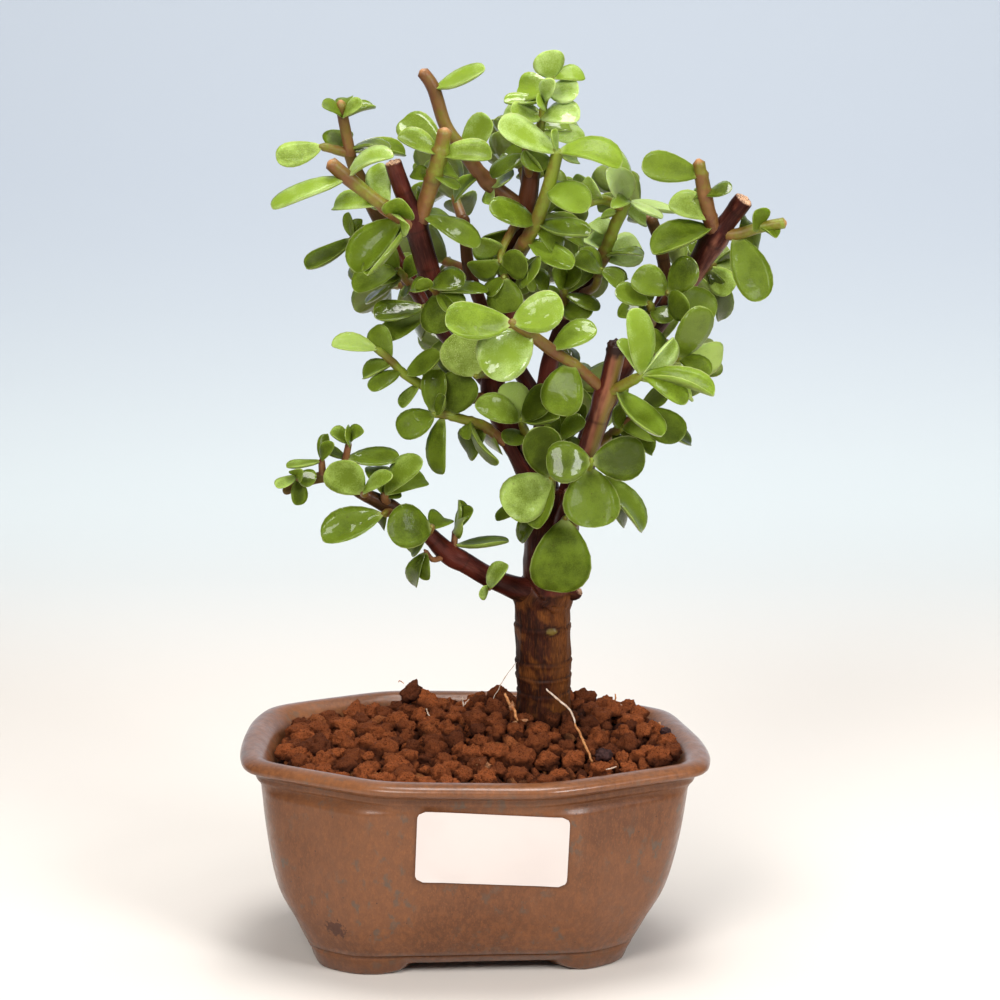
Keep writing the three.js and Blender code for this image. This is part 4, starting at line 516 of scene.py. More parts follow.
@dataclass
class Skin:
    """A mesh in the making: points in millimetres of the drawing, faces and values at the points."""

    points: list[Vector] = field(default_factory=list)
    faces: list[tuple[int, ...]] = field(default_factory=list)
    values: dict[str, list] = field(default_factory=dict)

    def add(self, other: "Skin") -> None:
        """Takes in another skin's points, faces and values."""
        start = len(self.points)
        self.points += other.points
        self.faces += [tuple(i + start for i in face) for face in other.faces]
        for name, row in other.values.items():
            self.values.setdefault(name, []).extend(row)

    def strip(self, first: int, second: int, count: int) -> None:
        """Joins two rings of count points by quads; first and second are the rings' first points."""
        for i in range(count):
            j = (i + 1) % count
            self.faces.append((first + i, first + j, second + j, second + i))

    def fan(self, first: int, middle: int, count: int, outward: bool) -> None:
        """Joins a ring of count points to a middle point by triangles."""
        for i in range(count):
            pair = (first + i, first + (i + 1) % count)
            self.faces.append((*(pair[::-1] if outward else pair), middle))

    def tube(self, rings: int, count: int) -> None:
        """Joins the first rings of count points, and closes both ends."""
        last = (rings - 1) * count
        for first in range(0, last, count):
            self.strip(first, first + count, count)
        self.faces += [tuple(range(count - 1, -1, -1)), tuple(range(last, last + count))]

    def mesh(self, name: str) -> bpy.types.Mesh:
        """Makes the mesh, in metres of the frame."""
        return new_mesh(name, [to_frame(point) for point in self.points], [], self.faces, self.values)

    def piece(self, name: str, material: bpy.types.Material, slot: Slot, *nodes: str) -> bpy.types.Object:
        """Makes the mesh and dresses it as a piece of the part."""
        return dress(new_object(name, self.mesh(name), material), slot, *nodes)


def new_object(name: str, mesh: bpy.types.Mesh, *materials: bpy.types.Material) -> bpy.types.Object:
    """Links a new object for a mesh and gives it its materials."""
    piece = bpy.data.objects.new(name, mesh)
    bpy.context.scene.collection.objects.link(piece)
    for material in materials:
        mesh.materials.append(material)
    return piece


def dress(piece: bpy.types.Object, slot: Slot, *nodes: str) -> bpy.types.Object:
    """Makes a piece ride on the part, in place of the named solids."""
    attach(piece, BODY)
    if nodes:
        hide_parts(*nodes)
    log.info("%s: %d faces", piece.name, len(piece.data.polygons))
    return piece


def frozen(piece: bpy.types.Object) -> bpy.types.Object:
    """Turns a piece with modifiers into a plain mesh and returns it."""
    bpy.context.view_layer.update()
    depsgraph = bpy.context.evaluated_depsgraph_get()
    old, piece.data = piece.data, bpy.data.meshes.new_from_object(piece.evaluated_get(depsgraph))
    piece.modifiers.clear()
    name = old.name
    bpy.data.meshes.remove(old)
    piece.data.name = name
    return piece


# ---------------------------------------------------------------- node trees
Value = object
Node = bpy.types.Node


class Tree:
    """Builds a node tree: adds a node, sets or links its sockets, and lays the nodes out in a row.

    A node given as a value stands for its first output that is in use.
    """

    def __init__(self, tree: bpy.types.NodeTree) -> None:
        """Wraps a tree that is empty or holds nodes of its own."""
        self.tree = tree
        self.family = "ShaderNode" if tree.bl_idname == "ShaderNodeTree" else "GeometryNode"

    def node(self, kind: str, inputs: dict | None = None, **settings: Value) -> Node:
        """Adds a node.

        Args:
            kind: Blender's name for the kind of node, without the family that the tree is of.
            inputs: socket name or number to a value, or to the socket or node that feeds it.
            settings: properties of the node.

        Returns:
            The node.
        """
        is_whole = kind.startswith(("Function", "NodeGroup"))
        node = self.tree.nodes.new(kind if is_whole else self.family + kind)
        node.location.x = 180 * len(self.tree.nodes)
        for name, value in settings.items():
            setattr(node, name, value)
        return self.feed(node, inputs or {})

    def feed(self, node: Node, inputs: dict) -> Node:
        """Sets or links sockets of a node, as node() does, and returns the node."""
        enabled = [socket for socket in node.inputs if socket.enabled]
        for name, value in inputs.items():
            target = enabled[name] if isinstance(name, int) else next(s for s in enabled if s.name == name)
            if isinstance(value, Node):
                value = next(socket for socket in value.outputs if socket.enabled)
            if isinstance(value, bpy.types.NodeSocket):
                self.tree.links.new(value, target)
            else:
                target.default_value = (*value, 1) if target.type == "RGBA" and len(value) == 3 else value
        return node

    def maths(self, operation: str, *values: Value, clamp: bool = False) -> Node:
        """Adds a sum on numbers or sockets."""
        return self.node("Math", dict(enumerate(values)), operation=operation, use_clamp=clamp)

    def times(self, first: Value, second: Value) -> Node:
        """Adds a product."""
        return self.maths("MULTIPLY", first, second)

    def plus(self, first: Value, *others: Value) -> Node:
        """Adds a sum of two or more."""
        for other in others:
            first = self.maths("ADD", first, other)
        return first

    def ramp(self, value: Value, low: Value, high: Value, start: float = 0, end: float = 1) -> Node:
        """Maps a value from low..high to start..end, eased and held at both ends."""
        inputs = {"Value": value, "From Min": low, "From Max": high, "To Min": start, "To Max": end}
        return self.node("MapRange", inputs, interpolation_type="SMOOTHSTEP")

    def blend(self, base: Value, *layers: tuple[Value, Value]) -> Node:
        """Lays colours over a base, one after the other, each by its share."""
        for share, colour_over in layers:
            base = self.node("Mix", {0: share, 1: base, 2: colour_over}, data_type="RGBA",
                             clamp_factor=True)
        return base

    def cloud(self, place: Value, scale: Value, detail: float = 3, rough: float = 0.55,
              distortion: float = 0) -> Node:
        """Adds soft noise at a place; scale is for places in millimetres."""
        return self.node("TexNoise", {"Vector": place, "Scale": scale, "Detail": detail, "Roughness": rough,
                                      "Distortion": distortion})

    def stretched(self, vector: Value, scale: Point) -> Node:
        """Scales a place along its three directions."""
        return self.node("Mapping", {"Vector": vector, "Scale": scale})

    def group(self, group: bpy.types.NodeTree, place: Value, **values: float) -> Node:
        """Adds a group that works at a place, with its values."""
        return self.feed(self.node("Group", node_tree=group), {"Place": place} | values)


class Group(Tree):
    """A node group in the making."""

    def __init__(self, name: str, kind: str, inputs: dict[str, Value], outputs: dict[str, str]) -> None:
        """Starts the group.

        Args:
            name: the group's name.
            kind: the kind of tree.
            inputs: socket name to its default number, or to its kind.
            outputs: socket name to its kind.
        """
        super().__init__(bpy.data.node_groups.new(name, kind))
        for way, sockets in (("INPUT", inputs), ("OUTPUT", outputs)):
            for label, value in sockets.items():
                sort = value if isinstance(value, str) else "Int" if isinstance(value, int) else "Float"
                socket = self.tree.interface.new_socket(label, in_out=way, socket_type="NodeSocket" + sort)
                if sort != value:
                    socket.default_value = value
        self.given = self.node("NodeGroupInput").outputs

    def close(self, outputs: dict[str, Value]) -> bpy.types.NodeTree:
        """Puts out the group's results and returns the group."""
        self.node("NodeGroupOutput", outputs)
        return self.tree


class Paint(Tree):
    """A material in the making."""

    def __init__(self, name: str) -> None:
        """Starts a material with its Principled shader."""
        self.material = bpy.data.materials.new(name)
        self.material.use_nodes = True
        super().__init__(self.material.node_tree)

    def place(self) -> Node:
        """Adds the place on the piece, in millimetres."""
        return self.stretched(self.node("TexCoord").outputs["Object"], (1 / MM, 1 / MM, 1 / MM))

    def value(self, name: str) -> bpy.types.NodeSocket:
        """Adds a stored value of the surface."""
        return self.node("Attribute", attribute_name=name).outputs["Fac"]

    def bump(self, height: Value, distance: float, strength: float) -> Node:
        """Adds a normal bent by a height; distance is in millimetres."""
        return self.node("Bump", {"Strength": strength, "Distance": distance * MM, "Height": height})

    def finish(self, base: Value, rough: Value, gloss: float,
               others: dict[str, Value] | None = None) -> bpy.types.Material:
        """Sets the shader's sockets and returns the material; gloss is its level of specular light."""
        self.feed(self.tree.nodes["Principled BSDF"], {
            "Base Color": base, "Roughness": rough, "Specular IOR Level": gloss} | (others or {}))
        return self.material


def colour(red: float, green: float, blue: float) -> Point:
    """Returns a screen colour of 0 to 255 a channel as linear light."""
    shares = (value / 255 for value in (red, green, blue))
    return tuple(s / 12.92 if s <= 0.04045 else ((s + 0.055) / 1.055) ** 2.4 for s in shares)


# ---------------------------------------------------------------- effects that materials share
def speckle_group() -> bpy.types.NodeTree:
    """Builds the effect of scattered round specks: a mask of them."""
    tree = Group("specks", "ShaderNodeTree", {"Place": "Vector", "Scale": 1.0, "Size": 0.2, "Share": 0.3},
                 {"Mask": "Float"})
    given = tree.given
    cells = tree.node("TexVoronoi", {"Vector": given["Place"], "Scale": given["Scale"]}).outputs
    near = tree.maths("SUBTRACT", 1, tree.maths("DIVIDE", cells["Distance"], given["Size"]), clamp=True)
    chosen = tree.maths("LESS_THAN", tree.node("SeparateColor", {"Color": cells["Color"]}), given["Share"])
    return tree.close({"Mask": tree.times(tree.ramp(near, 0, 0.45), chosen)})


def mottle_group() -> bpy.types.NodeTree:
    """Builds the effect of cloudy patches: a mask with soft edges."""
    tree = Group("mottle", "ShaderNodeTree",
                 {"Place": "Vector", "Scale": 0.1, "Cover": 0.5, "Softness": 0.1}, {"Mask": "Float"})
    given = tree.given
    cloud = tree.cloud(given["Place"], given["Scale"], 5, 0.6)
    edge = tree.maths("SUBTRACT", 1, given["Cover"])
    low = tree.maths("SUBTRACT", edge, given["Softness"])
    return tree.close({"Mask": tree.ramp(cloud, low, tree.plus(edge, given["Softness"]))})


def fibre_group() -> bpy.types.NodeTree:
    """Builds the effect of fibres along a stem: fine and coarse streaks."""
    tree = Group("fibres", "ShaderNodeTree", {"Place": "Vector", "Scale": 1.0},
                 {"Fine": "Float", "Coarse": "Float"})
    scale = tree.given["Scale"]
    size = tree.node("CombineXYZ", {"X": scale, "Y": scale, "Z": tree.times(scale, 0.09)})
    run = tree.node("VectorMath", {0: tree.given["Place"], 1: size}, operation="MULTIPLY")
    return tree.close({"Fine": tree.cloud(run, 2.6, 4, 0.6, 0.4),
                       "Coarse": tree.cloud(run, 0.7, 3, 0.5, 0.8)})


SPECKS = speckle_group()
MOTTLE = mottle_group()
FIBRES = fibre_group()


# ---------------------------------------------------------------- finishes
@dataclass(frozen=True)
class GlazeFinish:
    """Brown stoneware glaze: coppery where it is thin, with fine grey-blue mottles and black pits."""

    ground: Point = colour(113, 72, 46)
    dark: Point = colour(96, 58, 35)
    copper: Point = colour(148, 92, 52)
    smoke: Point = colour(80, 78, 70)
    pit: Point = colour(40, 28, 24)
    stain: Point = colour(64, 34, 24)
    stain_at: Point = (-36.9, -33.3, 14.9)
    roughness: float = 0.36

    def material(self) -> bpy.types.Material:
        """Returns the glaze; "thin" says where it is worn thin and "low" how near the foot it is,
        the foot itself being darkened as painted shade.
        """
        tree = Paint("brown_glaze")
        place, thin, low = tree.place(), tree.value("thin"), tree.value("low")
        run = tree.stretched(place, (1, 1, 0.5))
        flame = tree.group(MOTTLE, run, Scale=0.7, Cover=0.46, Softness=0.14)
        grain = tree.cloud(run, 2.6, 3, 0.6)
        smoke = tree.group(MOTTLE, tree.stretched(place, (1, 1, 0.7)), Scale=0.3, Cover=0.4, Softness=0.06)
        spread = tree.ramp(tree.cloud(place, 0.07, 2, 0.5), 0.42, 0.62, 0.08, 0.6)
        worn = tree.times(thin, tree.ramp(tree.cloud(run, 0.7, 4, 0.6), 0.3, 0.62, 0.35, 1))
        away = tree.node("VectorMath", {0: place, 1: tuple(MIDDLE + Vector(self.stain_at))},
                         operation="DISTANCE")
        edge = tree.plus(away, tree.ramp(tree.cloud(place, 0.9), 0.3, 0.7, -1.4, 1.4))
        pits = tree.group(SPECKS, place, Scale=0.42, Size=0.09, Share=0.3)
        base = tree.blend(self.dark,
                          (tree.ramp(tree.cloud(place, 0.035, 3, 0.5), 0.36, 0.66), self.ground),
                          (tree.times(flame, tree.ramp(low, 0, 1, 0.25, 0.42)), self.copper),
                          (tree.ramp(grain, 0.52, 0.74, 0, 0.4), self.copper),
                          (tree.ramp(grain, 0.46, 0.3, 0, 0.4), self.dark),
                          (tree.times(smoke, spread), self.smoke),
                          (tree.times(worn, 0.4), self.copper),
                          (tree.ramp(edge, 2, 2.9, 0.8, 0), self.stain),
                          # painted shade: the foot, set in under the belly, darkened
                          (tree.ramp(low, 0.93, 0.97, 0, 0.3), self.dark),
                          (tree.times(pits, 0.85), self.pit))
        rough = tree.ramp(tree.cloud(place, 0.3), 0.3, 0.7, self.roughness - 0.06, self.roughness + 0.1)
        relief = tree.maths("SUBTRACT", tree.times(tree.cloud(place, 1.6, 4, 0.6), 0.6), pits)
        return tree.finish(base, rough, 0.25, {
            "Normal": tree.bump(relief, 0.14, 0.6), "Coat Weight": tree.ramp(thin, 0, 1, 0.35, 0.9),
            "Coat Roughness": 0.2, "Coat IOR": 1.35})


@dataclass(frozen=True)
class GrainFinish:
    """Baked clay grains: red-brown, matt and porous, each grain a tone of its own,
    darker on its lower side as painted shade.
    """

    red: Point = colour(202, 110, 60)
    brown: Point = colour(120, 64, 38)
    pale: Point = colour(204, 132, 80)
    damp: Point = colour(48, 25, 18)
    # the dark of the pores, and the painted shade on the grains' lower sides and on the bed
    pore_and_shade: Point = colour(56, 26, 16)

    def material(self) -> bpy.types.Material:
        """Returns the clay; "tone" is a grain's own tone, "wet" its dampness, "low" its lower side,
        darkened as painted shade.
        """
        tree = Paint("clay_grain")
        place, tone = tree.place(), tree.value("tone")
        dust = tree.cloud(place, 2.4, 5, 0.72)
        base = tree.blend(self.brown,
                          (tree.ramp(tone, 0, 0.8), self.red),
                          (tree.ramp(tone, 0.86, 1), self.pale),
                          (tree.ramp(tree.cloud(place, 0.7, 5, 0.65), 0.35, 0.75, 0, 0.6), self.brown),
                          (tree.ramp(dust, 0.56, 0.8, 0, 0.4), self.pale),
                          (tree.ramp(dust, 0.48, 0.36, 0, 0.85), self.pore_and_shade),
                          # painted shade: each grain's lower side, and the whole bed, darkened
                          (tree.times(tree.value("low"), 0.8), self.pore_and_shade),
                          (tree.times(tree.value("wet"), 0.9), self.damp))
        relief = tree.plus(tree.times(dust, 1.3), tree.cloud(place, 0.9, 5, 0.7))
        return tree.finish(base, 0.92, 0.12, {"Normal": tree.bump(relief, 1.6, 1)})


@dataclass(frozen=True)
class BarkFinish:
    """Bark: brown with golden flecks low on the trunk, smooth and dark red on the limbs."""

    old: Point = colour(56, 24, 13)
    crack: Point = colour(28, 12, 7)
    straw: Point = colour(134, 78, 32)
    red: Point = colour(82, 31, 22)
    purple: Point = colour(46, 16, 12)
    rust: Point = colour(138, 86, 62)
    pith: Point = colour(214, 170, 134)
    char: Point = colour(44, 24, 18)
    olive: Point = colour(124, 112, 48)

    def material(self) -> bpy.types.Material:
        """Returns the bark.

        The mesh's values are "straight", the place on the limb as if it ran straight up, "old", "cut",
        "dead" (a dark cut), "scar", "green" and "rust" (pinkish brown patches).
        """
        tree = Paint("bark")
        run = tree.node("Attribute", attribute_name="straight").outputs["Vector"]
        fine, coarse = tree.group(FIBRES, run, Scale=1.0).outputs
        old, cloud = tree.value("old"), tree.cloud(tree.stretched(run, (1, 1, 0.4)), 0.24, 3, 0.5)
        worn = tree.plus(tree.value("rust"), tree.ramp(cloud, 0.3, 0.7, -0.45, 0.25))
        young_bark = tree.blend(self.purple,
                                (tree.ramp(cloud, 0.36, 0.66), self.red),
                                (tree.ramp(fine, 0.45, 0.8, 0, 0.14), self.rust),
                                (tree.ramp(worn, 0.25, 1), self.rust),
                                (tree.value("green"), self.olive))
        east = tree.node("SeparateXYZ", {0: run})
        patch = tree.maths("MAXIMUM", tree.ramp(tree.cloud(run, 0.2, 2, 0.5), 0.48, 0.7),
                           tree.ramp(east, 0, 5, 0, 0.9))
        flecks = tree.cloud(tree.stretched(run, (1, 1, 0.2)), 2.2, 4, 0.6, 0.3)
        gold = tree.times(tree.ramp(flecks, 0.5, 0.68), tree.ramp(patch, 0, 1, 0.35, 1))
        old_bark = tree.blend(self.old,
                              (tree.ramp(coarse, 0.36, 0.62, 0, 0.7), self.crack),
                              (tree.times(patch, 0.42), self.straw),
                              (tree.times(gold, 0.5), self.straw),
                              (tree.ramp(flecks, 0.46, 0.32, 0, 0.6), self.crack))
        wood = tree.blend(self.purple, (tree.ramp(tree.cloud(run, 1.9, 5, 0.7), 0.4, 0.52), self.pith),
                          (tree.value("dead"), self.char))
        base = tree.blend(young_bark, (old, old_bark), (tree.times(tree.value("scar"), 0.85), self.crack),
                          (tree.value("cut"), wood))
        skin = tree.times(tree.ramp(cloud, 0.4, 0.6, 0.05, 0.45), tree.ramp(old, 0, 1, 1, 0.2))
        height = tree.plus(tree.times(fine, old), tree.times(coarse, 0.9))
        height = tree.maths("SUBTRACT", height, tree.times(gold, 0.35))
        return tree.finish(base, tree.ramp(old, 0, 1, 0.42, 0.68), 0.1, {
            "Normal": tree.bump(height, 0.26, 0.7), "Coat Weight": skin, "Coat Roughness": 0.22,
            "Coat IOR": 1.3})


@dataclass(frozen=True)
class StemFinish:
    """The skin of green stems: olive, turning red-brown towards the wood."""

    olive: Point = colour(114, 105, 34)
    green: Point = colour(120, 134, 38)
    red: Point = colour(114, 78, 42)
    brown: Point = colour(90, 48, 30)
    pink: Point = colour(150, 98, 64)
    pith: Point = colour(178, 128, 84)

    def material(self) -> bpy.types.Material:
        """Returns the skin; the values are "ripe", "cut" and "knot"."""
        tree = Paint("stem_skin")
        place, ripe = tree.place(), tree.value("ripe")
        facing = tree.node("SeparateXYZ", {0: tree.node("NewGeometry").outputs["Normal"]})
        turned = tree.plus(ripe, tree.ramp(tree.cloud(place, 0.5, 4, 0.6), 0.3, 0.7, -0.16, 0.16),
                           tree.ramp(facing, -0.9, 0.2, 0.24, -0.04))
        blush = tree.ramp(tree.cloud(place, 0.16, 2, 0.5), 0.46, 0.66, 0, 0.5)
        base = tree.blend(self.green,
                          (tree.ramp(turned, 0.05, 0.4), self.olive),
                          (tree.ramp(turned, 0.4, 0.75), self.red),
                          (tree.ramp(turned, 0.8, 1.1), self.brown),
                          (tree.times(blush, tree.ramp(ripe, 0.1, 0.5)), self.pink),
                          (tree.times(tree.value("knot"), 0.7), self.brown),
                          (tree.value("cut"), self.pith))
        streaks = tree.cloud(tree.stretched(place, (1, 1, 0.3)), 1.8, 4, 0.6)
        return tree.finish(base, 0.4, 0.3, {
            "Normal": tree.bump(streaks, 0.25, 0.5), "Subsurface Weight": 0.08,
            "Subsurface Radius": (1, 0.6, 0.2), "Subsurface Scale": 0.8 * MM})


@dataclass(frozen=True)
class LeafFinish:
    """Thick wax-skinned leaves: dark to yellow-green, with a thin pale margin."""

    name: str
    deep: Point
    fresh: Point
    lime: Point
    margin: Point
    rot: Point = colour(66, 46, 20)

    def material(self) -> bpy.types.Material:
        """Returns the leaf skin.

        The values are "along" and "across" on the leaf, "under" on its lower face, "tone" (its own shade
        with painted light higher up and painted shade deeper in the crown), and "wet", "spot" and "grit"
        for leaves that are wet, spotted or rough.
        """
        tree = Paint(self.name)
        place = tree.place()
        along, side = tree.value("along"), tree.maths("ABSOLUTE", tree.value("across"))
        grit, wet = tree.value("grit"), tree.value("wet")
        # the leaf's tone, carrying the painted light and shade of the tone value, with random drift over
        # the leaf
        tone_and_painted_light = tree.plus(tree.value("tone"), tree.ramp(tree.cloud(place, 0.2), 0.3, 0.7, -0.12, 0.12),
                        tree.ramp(side, 0.2, 0.95, -0.05, 0.1),
                        tree.ramp(tree.cloud(place, 3, 2), 0.3, 0.7, -0.06, 0.06))
        rim = tree.maths("MAXIMUM", tree.ramp(side, 0.93, 1), tree.ramp(along, 0.975, 1))
        grains = tree.times(tree.group(SPECKS, place, Scale=2.7, Size=0.34, Share=0.9), grit)
        spots = tree.group(SPECKS, place, Scale=0.55, Size=0.17, Share=0.5)
        base = tree.blend(self.deep,
                          (tree.ramp(tone_and_painted_light, 0, 0.5), self.fresh),
                          (tree.ramp(tone_and_painted_light, 0.5, 1), self.lime),
                          (tree.ramp(along, 0, 0.16, 0.5, 0), self.margin),
                          (tree.times(tree.value("under"), 0.22), self.margin),
                          (tree.times(rim, 0.42), self.margin),
                          (tree.times(grains, tree.ramp(tree.cloud(place, 0.3, 2), 0.4, 0.6, 0.1, 0.75)),
                           self.margin),
                          (tree.times(spots, tree.value("spot")), self.rot))
        dull = tree.ramp(tree.cloud(place, 0.5), 0.3, 0.7, 0.38, 0.5)
        skin = tree.cloud(place, 1.5)
        height = tree.plus(skin, tree.times(tree.cloud(place, 0.3, 2), 2.4), tree.times(grains, 1.2))
        film = tree.plus(tree.cloud(place, 0.24, 1, 0.4, 0.6), tree.times(skin, 0.03))
        return tree.finish(base, tree.maths("SUBTRACT", dull, tree.times(wet, 0.12)), 0.1, {
            "Normal": tree.bump(height, 0.26, 0.4), "Subsurface Weight": 0.2,
            "Subsurface Radius": (0.7, 1, 0.12), "Subsurface Scale": 1.6 * MM, "Coat Weight": wet,
            "Coat Roughness": 0.06, "Coat IOR": 1.4, "Coat Normal": tree.bump(film, 0.8, 0.5)})


@dataclass(frozen=True)
class PlainFinish:
    """A plain matt surface whose tone drifts a little."""

    name: str
    base: Point
    other: Point
    roughness: float = 0.8
    scale: float = 0.9

    def material(self) -> bpy.types.Material:
        """Returns the surface."""
        tree = Paint(self.name)
        cloud = tree.cloud(tree.place(), self.scale, 4, 0.6)
        base = tree.blend(self.base, (tree.ramp(cloud, 0.35, 0.7), self.other))
        return tree.finish(base, self.roughness, 0.2, {"Normal": tree.bump(cloud, 0.6, 0.8)})


@dataclass(frozen=True)
class PaperFinish:
    """A white paper sticker with nothing on it."""

    white: Point = colour(219, 208, 203)
    warm: Point = colour(214, 203, 198)

    def material(self) -> bpy.types.Material:
        """Returns the paper."""
        tree = Paint("sticker_paper")
        place = tree.place()
        base = tree.blend(self.white, (tree.ramp(tree.cloud(place, 0.05, 2), 0.3, 0.7), self.warm))
        return tree.finish(base, 0.5, 0.5, {"Normal": tree.bump(tree.cloud(place, 4, 4), 0.05, 0.4)})


LEAF_SKIN = LeafFinish("leaf_skin", colour(58, 70, 9), colour(95, 113, 28), colour(152, 174, 86),
                       colour(188, 200, 126))
YOUNG_SKIN = LeafFinish("young_leaf_skin", colour(86, 104, 17), colour(121, 144, 43),
                        colour(170, 191, 118), colour(198, 208, 144))


# ---------------------------------------------------------------- pot, soil and label
def inset(row: Row, distance: float, height: float) -> Row:
    """Returns an outline of the pot moved inwards by a distance, at a height."""
    _, width, depth, corner, corner_angle = row
    return height, width - 2 * distance, depth - 2 * distance, corner - distance, corner_angle


@dataclass
class Pot:
    """The glazed bowl: a rectangle with its corners cut, a rolled lip, and four feet.

    Rows are outlines at a height: height, width, depth, middle to corner face, and where that face
    looks, in degrees off X.
    """

    belly: Sequence[Row] = ((6.6, 93, 62.4, 43, 57), (13, 99.2, 69.8, 46.2, 57), (21, 107.2, 76, 48.8, 57),
                            (34, 112.9, 81.4, 50.5, 57.5), (49.6, 116.6, 84.8, 50.6, 59))
    foot: Sequence[Row] = ((0, 86.6, 54, 39.3, 57), (0.6, 88.2, 55.6, 40.1, 57), (3.4, 90, 58, 41.3, 57),
                           (4.8, 91.4, 59.8, 42.1, 57), (5.3, 91.5, 59.9, 42.1, 57),
                           (5.8, 90.8, 59.2, 41.8, 57), (6.1, 91.4, 60, 42.1, 57))
    hollow: Sequence[Row] = ((52, 108.6, 76.3, 43.9, 61.5), (34, 102.6, 71.4, 45.4, 58),
                             (20, 94, 63, 42, 57), (9.4, 82, 52, 37.5, 57), (8, 76, 47, 35, 57))
    lip: Row = (58.2, 128, 94.2, 52.7, 62)
    # The roll of the lip with the bead under it: height and how far it lies inside the lip's outline.
    roll: Sequence[Row] = ((50.8, 5), (51.6, 4.3), (52.2, 4), (52.8, 4.1), (53.4, 4), (54, 3.2),
                           (54.5, 1.9), (55, 0.8), (55.6, 0.15), (56.3, 0), (57, 0.35), (57.6, 1.1),
                           (58, 2.1), (58.2, 3.2), (58.2, 4.2), (57.9, 5.2), (57.3, 6.2), (56.3, 7.3),
                           (54.8, 8.5))
    # How far the hand-made rim stands out at each quarter, at its side face and its corner face.
    quarters: Sequence[Row] = ((1, 1, -5.4, -1.2), (-1, 1, 1, 1.9), (-1, -1, 1.7, 0.2), (1, -1, 2.6, -1.2))
    side_angle: float = math.radians(17)
    side_cut: float = 1
    sharpness: float = 34
    foot_turn: float = math.radians(3.5)
    foot_shift: float = -2.6  # how far the foot's middle stands off the rim's
    straight_above: float = 54.2  # the height from which the pot stands in its middle
    rim_turn: float = math.radians(-2)
    around: int = 256
    underside: float = 3.2
    foot_wall: float = 7
    # Where the arches between the feet begin, along the front and along the sides.
    cuts: tuple[float, float] = (22.5, 13.5)
    # An arch's steep inner end and its long outer one: share, and where it starts and ends off the cut.
    arch_ends: Sequence[Row] = ((0.62, -3, 0), (0.38, -2, 6))
    uneven: float = 0.22
    drain: tuple[float, float] = (4, 20)
    finish: GlazeFinish = GlazeFinish()

    def turn_at(self, height: float) -> float:
        """Returns how far the pot is turned at a height."""
        return mix(self.foot_turn, self.rim_turn, height / self.lip[0])

    def shift_at(self, height: float) -> float:
        """Returns how far the middle of the outline stands off X at a height."""
        return self.foot_shift * max(0.0, 1 - height / self.straight_above)

    def reach(self, angle: float, row: Row) -> float:
        """Returns the distance from the middle to the outline in one direction."""
        height, width, depth, corner, corner_angle = row
        c, s = math.cos(angle), math.sin(angle)
        share = height / self.lip[0]
        faces = [abs(2 * c / width), abs(2 * s / depth)]
        for x, y, side_more, corner_more in self.quarters:
            for turn, distance in ((self.side_angle, width / 2 + self.side_cut + side_more * share),
                                   (math.radians(corner_angle), corner + corner_more * share)):
                faces.append(max(x * c * math.cos(turn) + y * s * math.sin(turn), 0) / distance)
        return sum(face ** self.sharpness for face in faces) ** (-1 / self.sharpness)

    def at(self, angle: float, row: Row) -> Vector:
        """Returns the point of an outline in one direction of the turned pot."""
        r = self.reach(angle, row)
        turned = angle + self.turn_at(row[0])
        return Vector((r * math.cos(turned) + self.shift_at(row[0]), r * math.sin(turned), row[0]))

    def room(self, x: float, y: float, row: Row) -> float:
        """Returns the distance from the middle to an outline on the way to a place."""
        return self.reach(math.atan2(y, x) - self.turn_at(row[0]), row)

    def arch(self, angle: float) -> float:
        """Returns how high the foot is cut away in one direction."""
        r = self.reach(angle, self.foot[0])
        sides = (abs(r * math.cos(angle) + self.foot_shift), abs(r * math.sin(angle)))
        return self.underside * max(sum(share * (1 - smooth(side, cut + start, cut + end))
                                        for share, start, end in self.arch_ends)
                                    for side, cut in zip(sides, self.cuts))

    def wall_row(self, z: float) -> Row:
        """Returns the belly's outline at a height."""
        rows = curve_through(np.array(self.belly), [12] * (len(self.belly) - 1))
        return (z, *(float(np.interp(z, rows[:, 0], rows[:, i])) for i in (1, 2, 3, 4)))

    def outline(self, skin: Skin, row: Row, thin: float, low: bool = False) -> int:
        """Adds one outline's points to the skin and returns the number of its first point."""
        first, top = len(skin.points), self.belly[0][0]
        for angle in angles(self.around):
            point = self.at(angle, row)
            if low:
                arch = self.arch(angle)
                point.z = arch + point.z * (top - arch) / top
            point += point.xy.normalized().to_3d() * self.uneven * noise.noise(point * 0.06)
            skin.points.append(point)
            wear = noise.noise(point * 0.11) * 0.5 + 0.6
            skin.values["thin"].append(max(0.0, min(1.0, thin * wear * 1.4)))
            skin.values["low"].append(1 - smooth(point.z, 2, 30))
        return first

    def skin(self) -> Skin:
        """Returns the pot's closed skin, from under the floor round the lip to the floor."""
        skin = Skin(values={"thin": [], "low": []})
        belly = curve_through(np.array(self.belly), [4, 5, 7, 10])
        rows = [(inset(self.foot[0], self.foot_wall, self.underside + 0.05), 0.0, False),
                (inset(self.foot[0], self.foot_wall, 0), 0.0, True)]
        rows += [(row, 0.3, True) for row in self.foot]
        rows += [(tuple(row), 0.45 if i == 0 else 0.0, False) for i, row in enumerate(belly)]
        rows += [(inset(self.lip, d, z), smooth(z, 53.6, 57), False) for z, d in self.roll]
        rows += [(row, 0.2, False) for row in self.hollow]
        firsts = [self.outline(skin, *row) for row in rows]
        for first, second in zip(firsts, firsts[1:]):
            skin.strip(first, second, self.around)
        for first, height, outward in ((firsts[0], self.underside, True),
                                       (firsts[-1], self.hollow[-1][0], False)):
            skin.fan(first, len(skin.points), self.around, outward)
            skin.points.append(Vector((0, 0, height)))
            for row in skin.values.values():
                row.append(0.0)
        return skin

